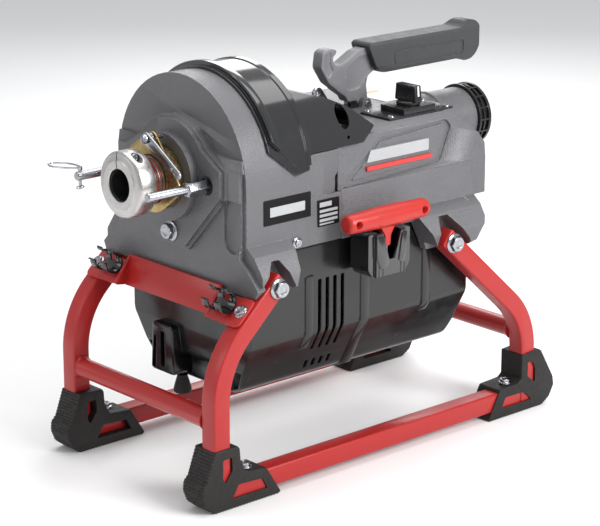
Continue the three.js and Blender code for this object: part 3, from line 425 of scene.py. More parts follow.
def turning_marks(tree, where, axis_z):
    """Fine lathe marks about the spindle's axis, on its faces and along its length."""
    mapping = node_of(tree, "ShaderNodeMapping")
    mapping.inputs["Location"].default_value = (-ORIGIN.x, -ORIGIN.y, -axis_z * MM)
    tree.links.new(where, mapping.inputs["Vector"])
    parts = node_of(tree, "ShaderNodeSeparateXYZ")
    tree.links.new(mapping.outputs["Vector"], parts.inputs["Vector"])
    ring = node_of(tree, "ShaderNodeCombineXYZ")
    tree.links.new(parts.outputs["X"], ring.inputs["X"])
    tree.links.new(parts.outputs["Z"], ring.inputs["Y"])
    size = node_of(tree, "ShaderNodeVectorMath")
    size.operation = "LENGTH"
    tree.links.new(ring.outputs["Vector"], size.inputs[0])
    line = node_of(tree, "ShaderNodeCombineXYZ")
    tree.links.new(size.outputs["Value"], line.inputs["X"])
    tree.links.new(parts.outputs["Y"], line.inputs["Y"])
    return noise(tree, line.outputs["Vector"], 0.5, 3.0)


FINISHES = {}


def make_all_finishes(sizes, colours):
    """Makes the machine's finishes from the sizes and colours in the panel."""
    c = colours
    bright = (0.62, 0.62, 0.63)
    table = {
        "cast_paint": dict(slot="cast_grey", colour=c.casting, rough=0.4, metal=0.35, grain=(1.9, 0.8),
                           mottle=(60, 0.93), edge=sizes.casting_edge / MM, wear=(0.33, 0.33, 0.34)),
        "lever_paint": dict(slot="cast_grey", colour=c.lever, rough=0.5, metal=0.3, grain=(1.3, 0.35),
                            mottle=(25, 0.85), edge=1.2, wear=(0.5, 0.5, 0.51)),
        "cover_gloss": dict(slot="cover_black", colour=c.cover, rough=0.12, grain=(0.35, 0.03), mottle=(45, 0.85),
                            vary=0.03, edge=0.8, coat=0.6, level=0.8),
        "satin_plastic": dict(slot="plastic_black", colour=c.motor_cover, rough=0.22, grain=(0.5, 0.05),
                              mottle=(50, 0.9), edge=1.4, level=0.5, coat=0.1),
        "switch_plastic": dict(slot="plastic_black", colour=shade(c.cover, 1.2), rough=0.3, grain=(0.4, 0.12),
                               edge=0.5, mottle=(12, 0.85)),
        "foot_rubber": dict(slot="rubber_dark", colour=c.rubber, rough=0.62, grain=(0.9, 0.35), mottle=(9, 0.75),
                            edge=0.8, wear=(0.075, 0.068, 0.062), vary=0.1, level=0.35),
        "belt_rubber": dict(slot="rubber_dark", colour=shade(c.rubber, 0.8), rough=0.7, grain=(0.8, 0.3), edge=0.4),
        "grip_rubber": dict(slot="grip_grey", colour=c.grip, rough=0.55, grain=(0.7, 0.3), mottle=(18, 0.85),
                            edge=1.0, wear=(0.11, 0.115, 0.12), level=0.4),
        "frame_paint": dict(slot="frame_red", colour=c.frame, rough=0.36, grain=(1.6, 0.06), mottle=(80, 0.94),
                            edge=0.8, wear=shade(c.frame, 1.25), coat=0.1, level=0.45),
        "handle_plastic": dict(slot="handle_red", colour=c.handle, rough=0.38, grain=(0.5, 0.1), mottle=(14, 0.92),
                               edge=0.8, wear=shade(c.handle, 1.2)),
        "zinc_plate": dict(slot="zinc", colour=c.zinc, rough=0.2, metal=1.0, grain=(0.8, 0.08), mottle=(4, 0.72),
                           vary=0.08, edge=0.4, wear=bright),
        "turned_metal": dict(slot="machined", colour=c.machined, rough=0.32, metal=1.0, grain=(0.5, 0.12),
                             mottle=(9, 0.86), edge=0.5, wear=bright, rings=SPINDLE_Z),
        "yellow_plate": dict(slot="yellow_zinc", colour=c.yellow_zinc, rough=0.3, metal=1.0, grain=(0.7, 0.1),
                             mottle=(8, 0.7), vary=0.1, edge=0.5, wear=(0.8, 0.68, 0.4)),
        "dark_steel": dict(slot="steel", colour=c.steel, rough=0.35, metal=1.0, grain=(0.5, 0.12), mottle=(10, 0.7),
                           edge=0.4, rings=SPINDLE_Z),
        "spring_paint": dict(slot="spring_black", colour=(0.006, 0.006, 0.007), rough=0.16, grain=(0.6, 0.05),
                             mottle=(6, 0.8), edge=0.3, wear=(0.05, 0.05, 0.05), coat=0.5),
        "label_black": dict(slot="plastic_black", colour=(0.003, 0.003, 0.0035), rough=0.5, grain=(0.4, 0.04),
                            mottle=(10, 0.9), edge=0.2, level=0.2),
        "label_pale": dict(slot="zinc", colour=(0.42, 0.43, 0.44), rough=0.4, metal=0.2, grain=(0.4, 0.05),
                           mottle=(12, 0.93), edge=0.2),
        "label_white": dict(slot="plastic_black", colour=(0.72, 0.72, 0.71), rough=0.45, grain=(0.4, 0.05),
                            mottle=(12, 0.95), edge=0.2),
        "stripe_orange": dict(slot="plastic_black", colour=(0.75, 0.28, 0.05), rough=0.45, grain=(0.4, 0.05),
                              mottle=(12, 0.95), edge=0.2),
        "stripe_red": dict(slot="frame_red", colour=(0.58, 0.035, 0.03), rough=0.35, grain=(0.5, 0.05), mottle=(8, 0.93),
                           edge=0.2),
        "mark_white": dict(slot="plastic_black", colour=(0.75, 0.75, 0.74), rough=0.4, grain=(0.4, 0.05),
                           mottle=(4, 0.92), edge=0.2),
        # Red of the spindle's neck rings: a painted reflection of the red frame on bare metal, not the colour of a
        # seal.
        "painted_frame_reflection": dict(slot="steel", colour=(0.30, 0.045, 0.03), rough=0.28, metal=0.4, grain=(0.4, 0.1),
                         mottle=(5, 0.8), edge=0.2),
    }
    for name, recipe in table.items():
        FINISHES[name] = make_finish(name, **recipe)


# ---------------------------------------------------------------- sizes and colours
def length(name, default, text):
    return FloatProperty(name=name, description=text, default=default * MM, unit="LENGTH", subtype="DISTANCE")


def colour(name, default, text):
    return FloatVectorProperty(name=name, description=text, default=default, size=3, min=0, max=1, subtype="COLOR")


class MachineSizes(bpy.types.PropertyGroup):
    tube_corner: length("Tube corner", 2.6, "Radius of the frame tube's long edges")
    casting_edge: length("Casting edge", 1.1, "Radius of the cast body's edges")
    rib_pitch: length("Toe rib pitch", 4.2, "Distance between the ribs on a foot's toe")
    rib_height: length("Toe rib height", 0.9, "How far the ribs stand out from the toe")
    tread_pitch: length("Tread pitch", 5.0, "Distance between the bars under a foot")
    louvre_gap: length("Louvre width", 6.0, "Width of the motor cover's air slots")
    spring_wire: length("Spring wire", 0.75, "Radius of the latch spring's wire")
    spring_turns: IntProperty(name="Spring turns", description="Turns of the latch spring", default=4, min=2, max=8)
    guard_ribs: IntProperty(name="Guard ribs", description="Ribs round the rear guard ring", default=16, min=6, max=24)


class MachineColours(bpy.types.PropertyGroup):
    casting: colour("Cast body", (0.140, 0.139, 0.147), "Textured grey paint of the body")
    lever: colour("Lever", (0.19, 0.19, 0.2), "Rough grey paint of the lever")
    cover: colour("Clutch cover", (0.006, 0.006, 0.007), "Glossy black cover")
    motor_cover: colour("Motor cover", (0.008, 0.008, 0.0085), "Satin dark plastic under the body")
    rubber: colour("Feet", (0.016, 0.014, 0.013), "Moulded rubber feet")
    grip: colour("Grip", (0.040, 0.042, 0.045), "Rubber grip on the lever")
    frame: colour("Frame", (0.38, 0.012, 0.011), "Red paint of the tube frame")
    handle: colour("Hand tool", (0.46, 0.018, 0.012), "Red plastic handle of the hand tool")
    zinc: colour("Zinc plate", (0.46, 0.47, 0.50), "Bright plating of bolts and posts")
    machined: colour("Turned metal", (0.60, 0.585, 0.57), "Bare turned metal of the collar")
    yellow_zinc: colour("Yellow plate", (0.50, 0.36, 0.16), "Yellow plating of the latch plate")
    steel: colour("Dark steel", (0.30, 0.30, 0.31), "Machined steel inside the machine")
    floor: colour("Floor", (0.86, 0.86, 0.86), "Plain pale floor")


class MachineStep(bpy.types.Operator):
    """One step of building the machine's looks"""
    bl_options = {"REGISTER", "UNDO"}

    @property
    def sizes(self):
        return bpy.context.scene.machine_sizes

    @property
    def colours(self):
        return bpy.context.scene.machine_colours


# ---------------------------------------------------------------- frame
def leg_line(leg, bottom, bends=18):
    """Centre line of a leg from the side: upright, a bend, then a slope in towards the body."""
    slope = math.radians(leg["slope"])
    bend = math.pi / 2 - slope
    reach = leg["radius"] * math.tan(bend / 2)
    line = [(leg["y"], bottom)]
    for i in range(bends + 1):
        a = bend * i / bends
        line.append((
            leg["y"] + leg["dir"] * leg["radius"] * (1 - math.cos(a)),
            leg["corner"] - reach + leg["radius"] * math.sin(a),
        ))
    top = leg["top"]
    line.append((leg["y"] + leg["dir"] * (top - leg["corner"]) / math.tan(slope), top))
    return line


def band(line, half):
    """The outline of a band of the given half width round a line."""
    left, right = [], []
    for i, here in enumerate(line):
        a = Vector(line[max(i - 1, 0)])
        b = Vector(line[min(i + 1, len(line) - 1)])
        along = (b - a).normalized()
        across = Vector((-along.y, along.x)) * half
        left.append(tuple(Vector(here) + across))
        right.append(tuple(Vector(here) - across))
    return left + right[::-1]


def leg_bolt_place(leg):
    slope = math.radians(leg["slope"])
    top_y = leg["y"] + leg["dir"] * (leg["top"] - leg["corner"]) / math.tan(slope)
    return top_y - leg["dir"] * 14 * math.cos(slope), leg["top"] - 14 * math.sin(slope)


class MakeFrameTubes(MachineStep):
    """Makes the bent legs, bottom rails and round cross tubes"""
    bl_idname = "drain_machine.frame_tubes"
    bl_label = "Frame tubes"

    def execute(self, context):
        paint = FINISHES["frame_paint"]
        corner = self.sizes.tube_corner / MM
        for end, leg in (("front", FRONT_LEG), ("rear", REAR_LEG)):
            leg_tube = prism(band(leg_line(leg, RAIL_Z - TUBE / 2), TUBE / 2), "X", FRAME_IN, FRAME_OUT)
            soften(leg_tube, corner, 4, 40)
            other = twin(leg_tube)
            finish(leg_tube, f"leg_tube_{end}_left", paint, nodes=[f"leg_{end}_left"])
            finish(other, f"leg_tube_{end}_right", paint, nodes=[f"leg_{end}_right"])
        y0, y1 = FRONT_LEG["y"] + TUBE / 2, REAR_LEG["y"] - TUBE / 2
        rail = box(FRAME_IN, FRAME_OUT, y0, y1, RAIL_Z - TUBE / 2, RAIL_Z + TUBE / 2)
        soften(rail, corner, 4, 40)
        other = twin(rail)
        finish(rail, "rail_tube_left", paint, nodes=["rail_left"])
        finish(other, "rail_tube_right", paint, nodes=["rail_right"])
        for end, y in (("front", FRONT_LEG["y"]), ("rear", REAR_LEG["y"] - 5)):
            half = FRAME_IN - 0.1
            bead = [(12.7, 5.0), (13.1, 3.4), (14.3, 2.2), (15.0, 0.9), (14.6, 0)]
            profile = [(0, -half)] + [(r, d - half) for r, d in bead[::-1]] + [(r, half - d) for r, d in bead]
            tube = turned(profile + [(0, half)], "X", y, 113, 48)
            finish(tube, f"cross_tube_{end}_round", paint, nodes=[f"cross_tube_{end}"])
        return {"FINISHED"}


def on_leg_face(along, out):
    """A point up the front legs' sloping front face and out from it, from the side."""
    a = math.radians(FRONT_LEG["slope"])
    off = TUBE / 2 + 0.3 + out
    return (
        FRONT_LEG["y"] + along * math.cos(a) - off * math.sin(a),
        FRONT_LEG["corner"] + along * math.sin(a) + off * math.cos(a),
    )


def hex_bolt(flat, height, flange, flange_height, shank=0.0, shank_r=3.0):
    """A hexagon flange bolt standing on the machine's zero, its shank below."""
    head = prism(circle(0, 0, flat / math.sqrt(3), 6), "Z", 0, height)
    r = flat / math.sqrt(3)
    cone = turned([(0, -1), (r + 1, -1), (r + 1, height - 0.25 * r), (r * 0.84, height), (0, height)], "Z", 0, 0, 48)
    clip(head, cone)
    dish = turned([(0, height + 1), (r * 0.55, height + 1), (r * 0.5, height - 0.7), (0, height - 0.9)], "Z", 0, 0, 32)
    carve(head, dish)
    soften(head, 0.35, 2)
    if flange:
        lip = flange_height * 0.45
        skirt = [(0, 0), (flange, 0), (flange, lip), (r * 0.95, flange_height), (0, flange_height)]
        gather(head, soften(turned(skirt, "Z", 0, 0, 48), 0.3, 2))
    if shank:
        gather(head, rod("Z", shank_r, -shank, 0.1, 0, 0, 24))
    return head


class MakeBolts(MachineStep):
    """Makes the hexagon flange bolts of the legs, feet, cross plate, boss and body"""
    bl_idname = "drain_machine.bolts"
    bl_label = "Bolts"

    def execute(self, context):
        plating = FINISHES["zinc_plate"]
        leg_bolt = hex_bolt(19, 9.4, 13.2, 3.0, 30, 5.9)
        for end, leg in (("front", FRONT_LEG), ("rear", REAR_LEG)):
            y, z = leg_bolt_place(leg)
            bolt = put(copy_of(leg_bolt), (FRAME_OUT + 0.3, y, z), (1, 0, 0))
            other = twin(bolt)
            finish(bolt, f"leg_fixing_{end}_left", plating, nodes=[f"leg_bolt_{end}_left"])
            finish(other, f"leg_fixing_{end}_right", plating, nodes=[f"leg_bolt_{end}_right"])
        bpy.data.meshes.remove(leg_bolt.data)
        foot_bolt = hex_bolt(12.4, 6.4, 9.0, 2.2, 6, 4)
        for end, leg, back in (("front", FRONT_LEG, 45), ("rear", REAR_LEG, -32)):
            place = (FRAME_OUT - TUBE / 2, leg["y"] + back, 43.2)
            bolt = put(copy_of(foot_bolt), place, (0, 0, 1))
            other = twin(bolt)
            finish(bolt, f"foot_fixing_{end}_left", plating, nodes=[f"foot_bolt_{end}_left"])
            finish(other, f"foot_fixing_{end}_right", plating, nodes=[f"foot_bolt_{end}_right"])
        bpy.data.meshes.remove(foot_bolt.data)
        a = math.radians(90 - FRONT_LEG["slope"])
        plate_bolt = hex_bolt(12.8, 5.2, 8.7, 2.0, 3, 4)
        y, z = on_leg_face(72, 4.0)
        bolt = put(plate_bolt, (FRAME_OUT - TUBE / 2, y, z), (0, -math.sin(a), math.cos(a)))
        other = twin(bolt)
        finish(bolt, "plate_fixing_left", plating)
        finish(other, "plate_fixing_right", plating)
        boss = put(hex_bolt(19, 9.4, 13.8, 2.8, 14, 5), (0, -230.3, 316), (0, -1, 0))
        finish(boss, "boss_fixing", plating, nodes=["boss_bolt"])
        body_bolt = hex_bolt(9, 4.2, 7.2, 1.8, 4, 3.5)
        for tag, y, x in (("front", -132, 126.6), ("rear", 165, 127.6)):
            bolt = put(copy_of(body_bolt), (x, y, 308), (1, 0, 0))
            other = twin(bolt)
            finish(bolt, f"body_fixing_{tag}_left", plating)
            finish(other, f"body_fixing_{tag}_right", plating)
        bpy.data.meshes.remove(body_bolt.data)
        return {"FINISHED"}


class MakeCrossPlate(MachineStep):
    """Makes the red plate between the front legs, with its rounded end tabs"""
    bl_idname = "drain_machine.cross_plate"
    bl_label = "Cross plate"

    def execute(self, context):
        thick = 4.0
        low, high = (-237, 226), (-226, 264)
        middle = prism([low, (low[0] + thick, low[1]), (high[0] + thick, high[1]), high], "X", -92, 92)
        soften(middle, 0.7, 2)
        near = [on_leg_face(52, 0), on_leg_face(85, 0), on_leg_face(85, thick), on_leg_face(52, thick)]
        parts = []
        a = math.radians(90 - FRONT_LEG["slope"])
        for s in (1, -1):
            flat = rounded([(s * 90, 52), (s * 153, 50), (s * 153, 93), (s * 90, 86)], 9, 5)
            tab = prism(flat, "Z", 0, thick)
            tab.rotation_euler.x = math.radians(FRONT_LEG["slope"])
            y, z = on_leg_face(0, 0)
            turn = tab.rotation_euler.to_matrix()
            tab.location = at(0, y, z) - turn @ ORIGIN
            settle(tab)
            soften(tab, 0.7, 2)
            parts.append(tab)
            x = sorted((s * 89, s * 94))
            fold = prism([near[0], near[1], near[2], high, low, near[3]], "X", *x)
            use(fold)
            bpy.ops.object.mode_set(mode="EDIT")
            bpy.ops.mesh.select_all(action="SELECT")
            bpy.ops.mesh.convex_hull()
            bpy.ops.object.mode_set(mode="OBJECT")
            parts.append(soften(fold, 1.2, 3, 20))
        plate = gather(middle, *parts)
        finish(plate, "cross_plate_folded", FINISHES["frame_paint"], nodes=["cross_plate"])
        return {"FINISHED"}


class MakeClips(MachineStep):
    """Makes the two glossy black spring clips, each of two hoops side by side"""
    bl_idname = "drain_machine.clips"
    bl_label = "Spring clips"

    def execute(self, context):
        r, thick, along = 11.4, 2.4, 72
        base = 4.3
        centre = base + r + thick

        def ring_point(radius, a):
            t = math.radians(a)
            return on_leg_face(along + radius * math.sin(t), centre - radius * math.cos(t))

        angles = [-142 + 284 * i / 40 for i in range(41)]
        outline = [ring_point(r + thick, a) for a in angles] + [ring_point(r, a) for a in reversed(angles)]
        clip_ring = prism(outline, "X", 97, 131)
        windows = []
        for s in (1, -1):
            gap = [ring_point(rr, s * a) for rr, a in ((r - 3, 38), (r + 5, 38), (r + 5, 84), (r + 5, 150),
                                                       (r - 3, 150), (r - 3, 84))]
            windows.append(prism(gap, "X", 108, 120))
        carve(clip_ring, *windows)
        soften(clip_ring, 0.5, 2, 40, clamp=False)
        lips = []
        for s in (1, -1):
            t = math.radians(142)
            mid = along + s * (r + thick / 2) * math.sin(t)
            out = centre - (r + thick / 2) * math.cos(t)
            shape = [(-0.9, -1.2), (0.9, -1.2), (1.8, 1.4), (3.4, 2.8), (2.6, 3.9), (0.2, 2.4)]
            for x0, x1 in ((97.2, 107.8), (120.2, 130.8)):
                lip = prism([on_leg_face(mid + s * da, out + dh) for da, dh in shape], "X", x0, x1)
                lips.append(soften(lip, 0.4, 2, 40))
        seat = prism([on_leg_face(along + da, base + dh) for da, dh in ((-7, 0), (7, 0), (6, 2.4), (-6, 2.4))],
                     "X", 98, 130)
        lips.append(soften(seat, 0.5, 2))
        whole = gather(clip_ring, *lips)
        other = twin(whole)
        finish(whole, "spring_clip_left", FINISHES["spring_paint"], nodes=["clip_left"])
        finish(other, "spring_clip_right", FINISHES["spring_paint"], nodes=["clip_right"])
        return {"FINISHED"}


# Foot outlines and windows, measured from the leg's centre line. The toe's points come last.
FRONT_FOOT = [(-12.6, 80), (22.5, 80), (25.5, 76), (27, 58), (35, 43), (68.5, 40), (91.5, 3), (89.5, 1),
              (-14.1, 1), (-27.8, 11.6), (-33.6, 26.4), (-32.6, 37.6), (-25.7, 44.6)]
REAR_FOOT = [(13.6, 84), (-14.6, 82), (-14.6, 48), (-21.6, 43), (-56.6, 41), (-77.1, 3), (-75.6, 1),
             (28.0, 1), (42.6, 9.6), (51.2, 25.4), (49.1, 37.6), (23.5, 81)]
FRONT_WINDOWS = [[(-1.5, 67), (12.5, 68), (13.5, 51), (2.5, 36), (-1.5, 42)],
                 [(23.5, 30), (61.5, 28), (69.5, 13), (12.5, 13)]]
REAR_WINDOWS = [[(-2.6, 70), (7.4, 68), (12.4, 58), (12.4, 38), (-2.6, 49)],
                [(-45.6, 29), (-8.6, 28), (6.4, 14), (-52.6, 14)]]


def toe_ribs(a, b, pitch, height, x0, x1, inside):
    """Ribs across the width along a line of the toe from a to b."""
    a, b = Vector(a), Vector(b)
    run = (b - a)
    out = Vector((-run.y, run.x)).normalized()
    if out.dot(Vector(inside) - a) > 0:
        out = -out
    count = max(1, round(run.length / pitch))
    step = run / count
    ribs = []
    for i in range(count):
        mid = a + step * (i + 0.5)
        w = step * 0.27
        outline = [mid - w - out * 0.4, mid + w - out * 0.4, mid + w * 0.7 + out * height, mid - w * 0.7 + out * height]
        ribs.append(prism([tuple(p) for p in outline], "X", x0, x1))
    return ribs


class MakeFeet(MachineStep):
    """Makes the four rubber feet with ribbed toes, treaded soles and windows to the tube"""
    bl_idname = "drain_machine.feet"
    bl_label = "Feet"

    def execute(self, context):
        x0, x1 = FRAME_IN - 12, FRAME_OUT + 2.4
        s = self.sizes
        pitch, height = s.rib_pitch / MM, s.rib_height / MM
        for end, leg, outline, windows in (("front", FRONT_LEG, FRONT_FOOT, FRONT_WINDOWS),
                                           ("rear", REAR_LEG, REAR_FOOT, REAR_WINDOWS)):
            y = leg["y"]
            shape = [(y + dy, z) for dy, z in outline]
            foot = soften(prism(shape, "X", x0, x1), 1.5, 3, 25)
            t = TUBE / 2 + 0.1
            inner = (FRAME_IN - 0.1, FRAME_OUT + 0.1)
            leg_hole = box(*inner, y - t, y + t, RAIL_Z - t, 120)
            ends = (y, y + 150) if end == "front" else (y - 150, y)
            rail_hole = box(*inner, *ends, RAIL_Z - t, RAIL_Z + t)
            carve(foot, leg_hole, rail_hole)
            for window in windows:
                corners = rounded([(y + dy, z) for dy, z in window], 2.2, 3)
                carve(foot, prism(corners, "X", FRAME_OUT - 2, x1 + 5), prism(corners, "X", x0 - 5, FRAME_IN + 2))
            middle = (y, 40)
            toe = shape[-5:] + shape[:1] if end == "front" else shape[7:] + shape[:1]
            extras = []
            for a, b in zip(toe, toe[1:]):
                extras += toe_ribs(a, b, pitch, height, x0 + 1, x1 - 1, middle)
            sole = (shape[7], shape[8]) if end == "front" else (shape[6], shape[7])
            extras += toe_ribs(*sole, s.tread_pitch / MM, 1.0, x0 + 1.5, x1 - 1.5, middle)
            gather(foot, *extras)
            other = twin(foot)
            finish(foot, f"rubber_foot_{end}_left", FINISHES["foot_rubber"], nodes=[f"foot_{end}_left"])
            finish(other, f"rubber_foot_{end}_right", FINISHES["foot_rubber"], nodes=[f"foot_{end}_right"])
        return {"FINISHED"}


# ---------------------------------------------------------------- body
class MakeBodyCasting(MachineStep):
    """Finishes the cast body: smooth shading, edges rounded in its finish, and two round recesses in its front"""
    bl_idname = "drain_machine.body_casting"
    bl_label = "Cast body"

    def execute(self, context):
        casting = from_frame("body_casting")
        cutters = []
        for s in (1, -1):
            for x in (s * 71,):
                cutters.append(turned([(0, -240), (12.6, -240), (12.0, -226.5), (0, -226.5)], "Y", x, SPINDLE_Z, 40))
        carve(casting, *cutters)
        finish(casting, "cast_body", FINISHES["cast_paint"], nodes=["body_casting"], angle=24)
        return {"FINISHED"}


class MakeRearCover(MachineStep):
    """Finishes the flat-roofed rear cover with its recessed side panels"""
    bl_idname = "drain_machine.rear_cover"
    bl_label = "Rear cover"

    def execute(self, context):
        cover = from_frame("rear_cover")
        border = [(143, 421), (152, 411), (127, 367), (-46, 360), (-46, 368), (-2, 396), (23, 414)]
        island = [(138, 416), (145, 410), (122, 373), (-30, 367), (2, 391), (25, 409)]
        for s in (1, -1):
            x = sorted((s * 100, s * 130))
            groove = carve(prism(rounded(border, 5, 4), "X", *x), prism(rounded(island, 5, 4), "X", *x))
            skin = [(s * 114.9, 350), (s * 105.2, 435), (s * 140, 435), (s * 140, 350)]
            clip(groove, prism(skin, "Y", -80, 180))
            carve(cover, groove)
        finish(cover, "rear_hood", FINISHES["cast_paint"], nodes=["rear_cover"], angle=24)
        return {"FINISHED"}


class MakeClutchCover(MachineStep):
    """Makes the glossy cover over the clutch: flange, main hoop, stepped tip and finger hole"""
    bl_idname = "drain_machine.clutch_cover"
    bl_label = "Clutch cover"

    def execute(self, context):
        axis = SPINDLE_Z
        flange_edge = [(-180, 432), (-135, 394), (-113, 398), (-112.5, 415), (-100, 415), (-100, 540), (-180, 540)]
        main_edge = [(-171, 442), (-132, 402), (-112, 405), (-111.5, 416), (-100, 416), (-100, 540), (-171, 540)]
        flange = turned([(126.4, -174.8), (129.0, -174.8), (129.8, -174), (129.8, -107.2), (126.4, -107.2)],
                        "Y", 0, axis, 160, True)
        clip(flange, prism(flange_edge, "X", -150, 150))
        main = turned([(128, -170), (134.0, -170), (135.3, -168.6), (135.3, -161), (134.6, -158.6), (131.2, -157),
                       (131.0, -118), (132.4, -116.5), (132.6, -109), (131.0, -106.8), (129.5, -106.4), (110, -106.4),
                       (110, -111.3), (128, -111.3)], "Y", 0, axis, 160, True)
        clip(main, prism(main_edge, "X", -150, 150))
        slant = [(-150, 415.3), (-12.4, 415.3), (9.6, 431.3), (11.4, 433), (-22, 460), (-50, 473), (-107, 489),
                 (-150, 501)]
        slant_in = [(-160, 370), (8.6, 370), (8.6, 430), (-24, 456), (-51, 468.5), (-107, 484.5), (-160, 499)]
        rear = turned([(0, -112), (122.2, -112), (123, -111), (122.6, -60), (121, 16), (0, 16)], "Y", 0, axis, 160)
        clip(rear, prism(slant, "X", -150, 150))
        inside = turned([(0, -125), (119, -125), (119, -60), (117.5, 18), (0, 18)], "Y", 0, axis, 157)
        clip(inside, prism(slant_in, "X", -150.5, 150.5))
        carve(rear, inside)
        hole = prism([(-37 + 10 * math.cos(t), 450 + 15 * math.sin(t)) for t in
                      [math.tau * i / 40 for i in range(40)]], "X", 84, 130)
        carve(rear, hole, rod("X", 2.5, 90, 130, -36, 425, 24))
        lip_out = turned([(119, -112), (124.3, -112), (124.3, -104), (123.6, -103), (119, -103)], "Y", 0, axis, 160, True)
        clip(lip_out, prism([(-150, 415.6), (-90, 415.6), (-90, 487), (-150, 487)], "X", -150, 150))
        roof = [(0, 432), (102, 430.3), (110.3, 421.7), (117.3, 360), (0, 360)]
        carve(rear, prism(both_sides(roof), "Y", -60, 20))
        whole = gather(flange, main, rear, lip_out)
        finish(whole, "clutch_hood", FINISHES["cover_gloss"], nodes=["clutch_cover"], angle=25)
        return {"FINISHED"}


def cover_section(inset, high=299.0):
    half = [(66 - inset, 107 + inset), (82 - inset, 114 + inset), (100 - inset, 149), (118 - inset, 182),
            (118 - inset, high)]
    return both_sides(half)


class MakeMotorCover(MachineStep):
    """Makes the satin plastic cover under the motor with its ribs, louvres and front boss"""
    bl_idname = "drain_machine.motor_cover"
    bl_label = "Motor cover"

    def execute(self, context):
        profile = [(-200, 320), (-200, 178), (-197, 146), (-190, 118), (-182, 104), (150, 104), (172, 112),
                   (179, 132), (179, 320)]
        outer = soften(prism(cover_section(0), "Y", -220, 200), 5, 4, 10)
        side = soften(prism(profile, "X", -140, 140), 6, 4, 10)
        clip(outer, side)
        inner = prism(cover_section(3, 330), "Y", -196, 175)
        carve(outer, inner)
        details = []
        gap = self.sizes.louvre_gap / MM / 2
        for s in (1, -1):
            for y in (-86, -73, -60, -47):
                x = sorted((s * 90, s * 123))
                slot = prism(rounded([(y - gap, 152), (y + gap, 152), (y + gap, 250), (y - gap, 250)], 2, 3), "X", *x)
                details.append(slot)
                low = prism(rounded([(y - gap, 124), (y + gap, 124), (y + gap, 136), (y - gap, 136)], 1.5, 3), "X", *x)
                low.location.x -= s * 22 * MM
                details.append(settle(low))
            x = sorted((s * 116.8, s * 124))
            details.append(prism(rounded([(-104, 178), (-96, 178), (-96, 256), (-104, 256)], 2, 3), "X", *x))
        carve(outer, *details)
        boss = prism(rounded([(-71, 112), (-22, 112), (-26, 178), (-67, 178)], 6, 4), "Y", -211.5, -180)
        soften(boss, 3, 3)
        carve(boss, prism(rounded([(-50, 120), (-41, 120), (-41, 168), (-50, 168)], 3, 4), "Y", -215, -204),
              prism(rounded([(-68, 116), (-60, 116), (-58, 160), (-63, 160)], 2, 4), "Y", -215, -206))
        parts = [boss]
        for s in (1, -1):
            band = cover_section(-1.7)
            for y, wide, low in ((-104, 7, 158), (-8, 8, 90), (102, 7, 168)):
                x = sorted((s * 60, s * 124))
                rib = prism(band, "Y", y - wide, y + wide)
                window = rounded([(y - wide, low), (y + wide, low), (y + wide, 258), (y - wide, 258)], 4, 4)
                clip(rib, prism(window, "X", *x))
                carve(rib, prism(cover_section(2.2, 330), "Y", y - 20, y + 20))
                parts.append(soften(rib, 0.9, 2, 40))
        whole = gather(outer, *parts)
        finish(whole, "motor_shell", FINISHES["satin_plastic"], nodes=["motor_cover"], angle=30)
        foot = turned([(0, 0), (10.6, 0), (11.7, 1.2), (12, 4), (9.5, 14), (7, 22), (7, 24), (0, 24)], "Z", 0, 0, 40)
        put(foot, (-36, -187, 82.5), (0, 0, 1))
        finish(foot, "bumper_rubber", FINISHES["foot_rubber"], nodes=["bumper"])
        return {"FINISHED"}


# ---------------------------------------------------------------- spindle and front fittings
class MakeSpindleFront(MachineStep):
    """Makes the turned collar with its slit and clamp screw, and the ringed neck behind it, whose red rings are a
    painted reflection of the red frame
    """
    bl_idname = "drain_machine.spindle_front"
    bl_label = "Collar and spindle"

    def execute(self, context):
        z = SPINDLE_Z
        ring = turned([(20.5, -309), (21.6, -310), (30.4, -310), (31.0, -309.2), (33.6, -308.6), (38.6, -308.3),
                       (40.9, -306.6), (42, -304.6), (42, -285), (41.4, -283.6), (40.2, -283), (25.3, -283),
                       (25.3, -305.3), (20.5, -305.3)], "Y", 0, z, 96, True)
        tilt = math.radians(-8)
        cutters = [box(-0.8, 0.8, -312, -281, z + 15, z + 46), rod("X", 6, 14, 50, -296, z + 33, 40, 0.1)]
        for cutter in cutters:
            turn_about_spindle(cutter, tilt)
        carve(ring, *cutters)
        finish(ring, "collar_turned", FINISHES["turned_metal"], "spindle_unit", nodes=["collar"])
        head = turned([(0, 14.3), (4.6, 14.3), (5, 14.8), (5, 20.2), (4.4, 20.8), (2.8, 20.8), (2.6, 20.5),
                       (2.6, 17.4), (0, 17.0)], "X", -296, z + 33, 32)
        gather(head, rod("X", 3, -13, 15, -296, z + 33, 24))
        turn_about_spindle(head, tilt)
        finish(head, "collar_clamp_screw", FINISHES["zinc_plate"], "spindle_unit", nodes=["collar_screw"])
        profile = [(20.5, -304.9), (25, -304.9), (25, -282.7), (29.4, -282.7), (30, -282.1)]
        for y in (-278, -272, -266):
            profile += [(30, y - 2.1), (29.2, y - 1.8), (27.9, y - 1), (27.5, y), (27.9, y + 1), (29.2, y + 1.8),
                        (30, y + 2.1)]
        profile += [(30, -229.6), (29.4, -229), (27, -229), (27, -206), (24, -204), (24, 117.4), (23.4, 118),
                    (21.2, 118), (20.5, 117.3)]
        spindle = turned(profile, "Y", 0, z, 96, True)
        for i in range(3):
            slot = box(-6, 6, 59, 84, z + 10, z + 32)
            turn_about_spindle(slot, math.radians(120 * i))
            carve(spindle, slot)
        finish(spindle, "spindle_tube", FINISHES["dark_steel"], "spindle_unit", nodes=["spindle"])
        # The rings in the neck's grooves are coloured red as a painted reflection of the red frame on the bare spindle.
        rings = None
        for y in (-278, -272, -266):
            one = turned([(27.6 + 1.3 + 1.3 * math.sin(t), y + 1.3 * math.cos(t))
                          for t in [math.tau * i / 12 for i in range(12)]], "Y", 0, z, 72, True)
            rings = gather(rings, one) if rings else one
        finish(rings, "neck_rings_painted_reflection", FINISHES["painted_frame_reflection"], "spindle_unit")
        return {"FINISHED"}


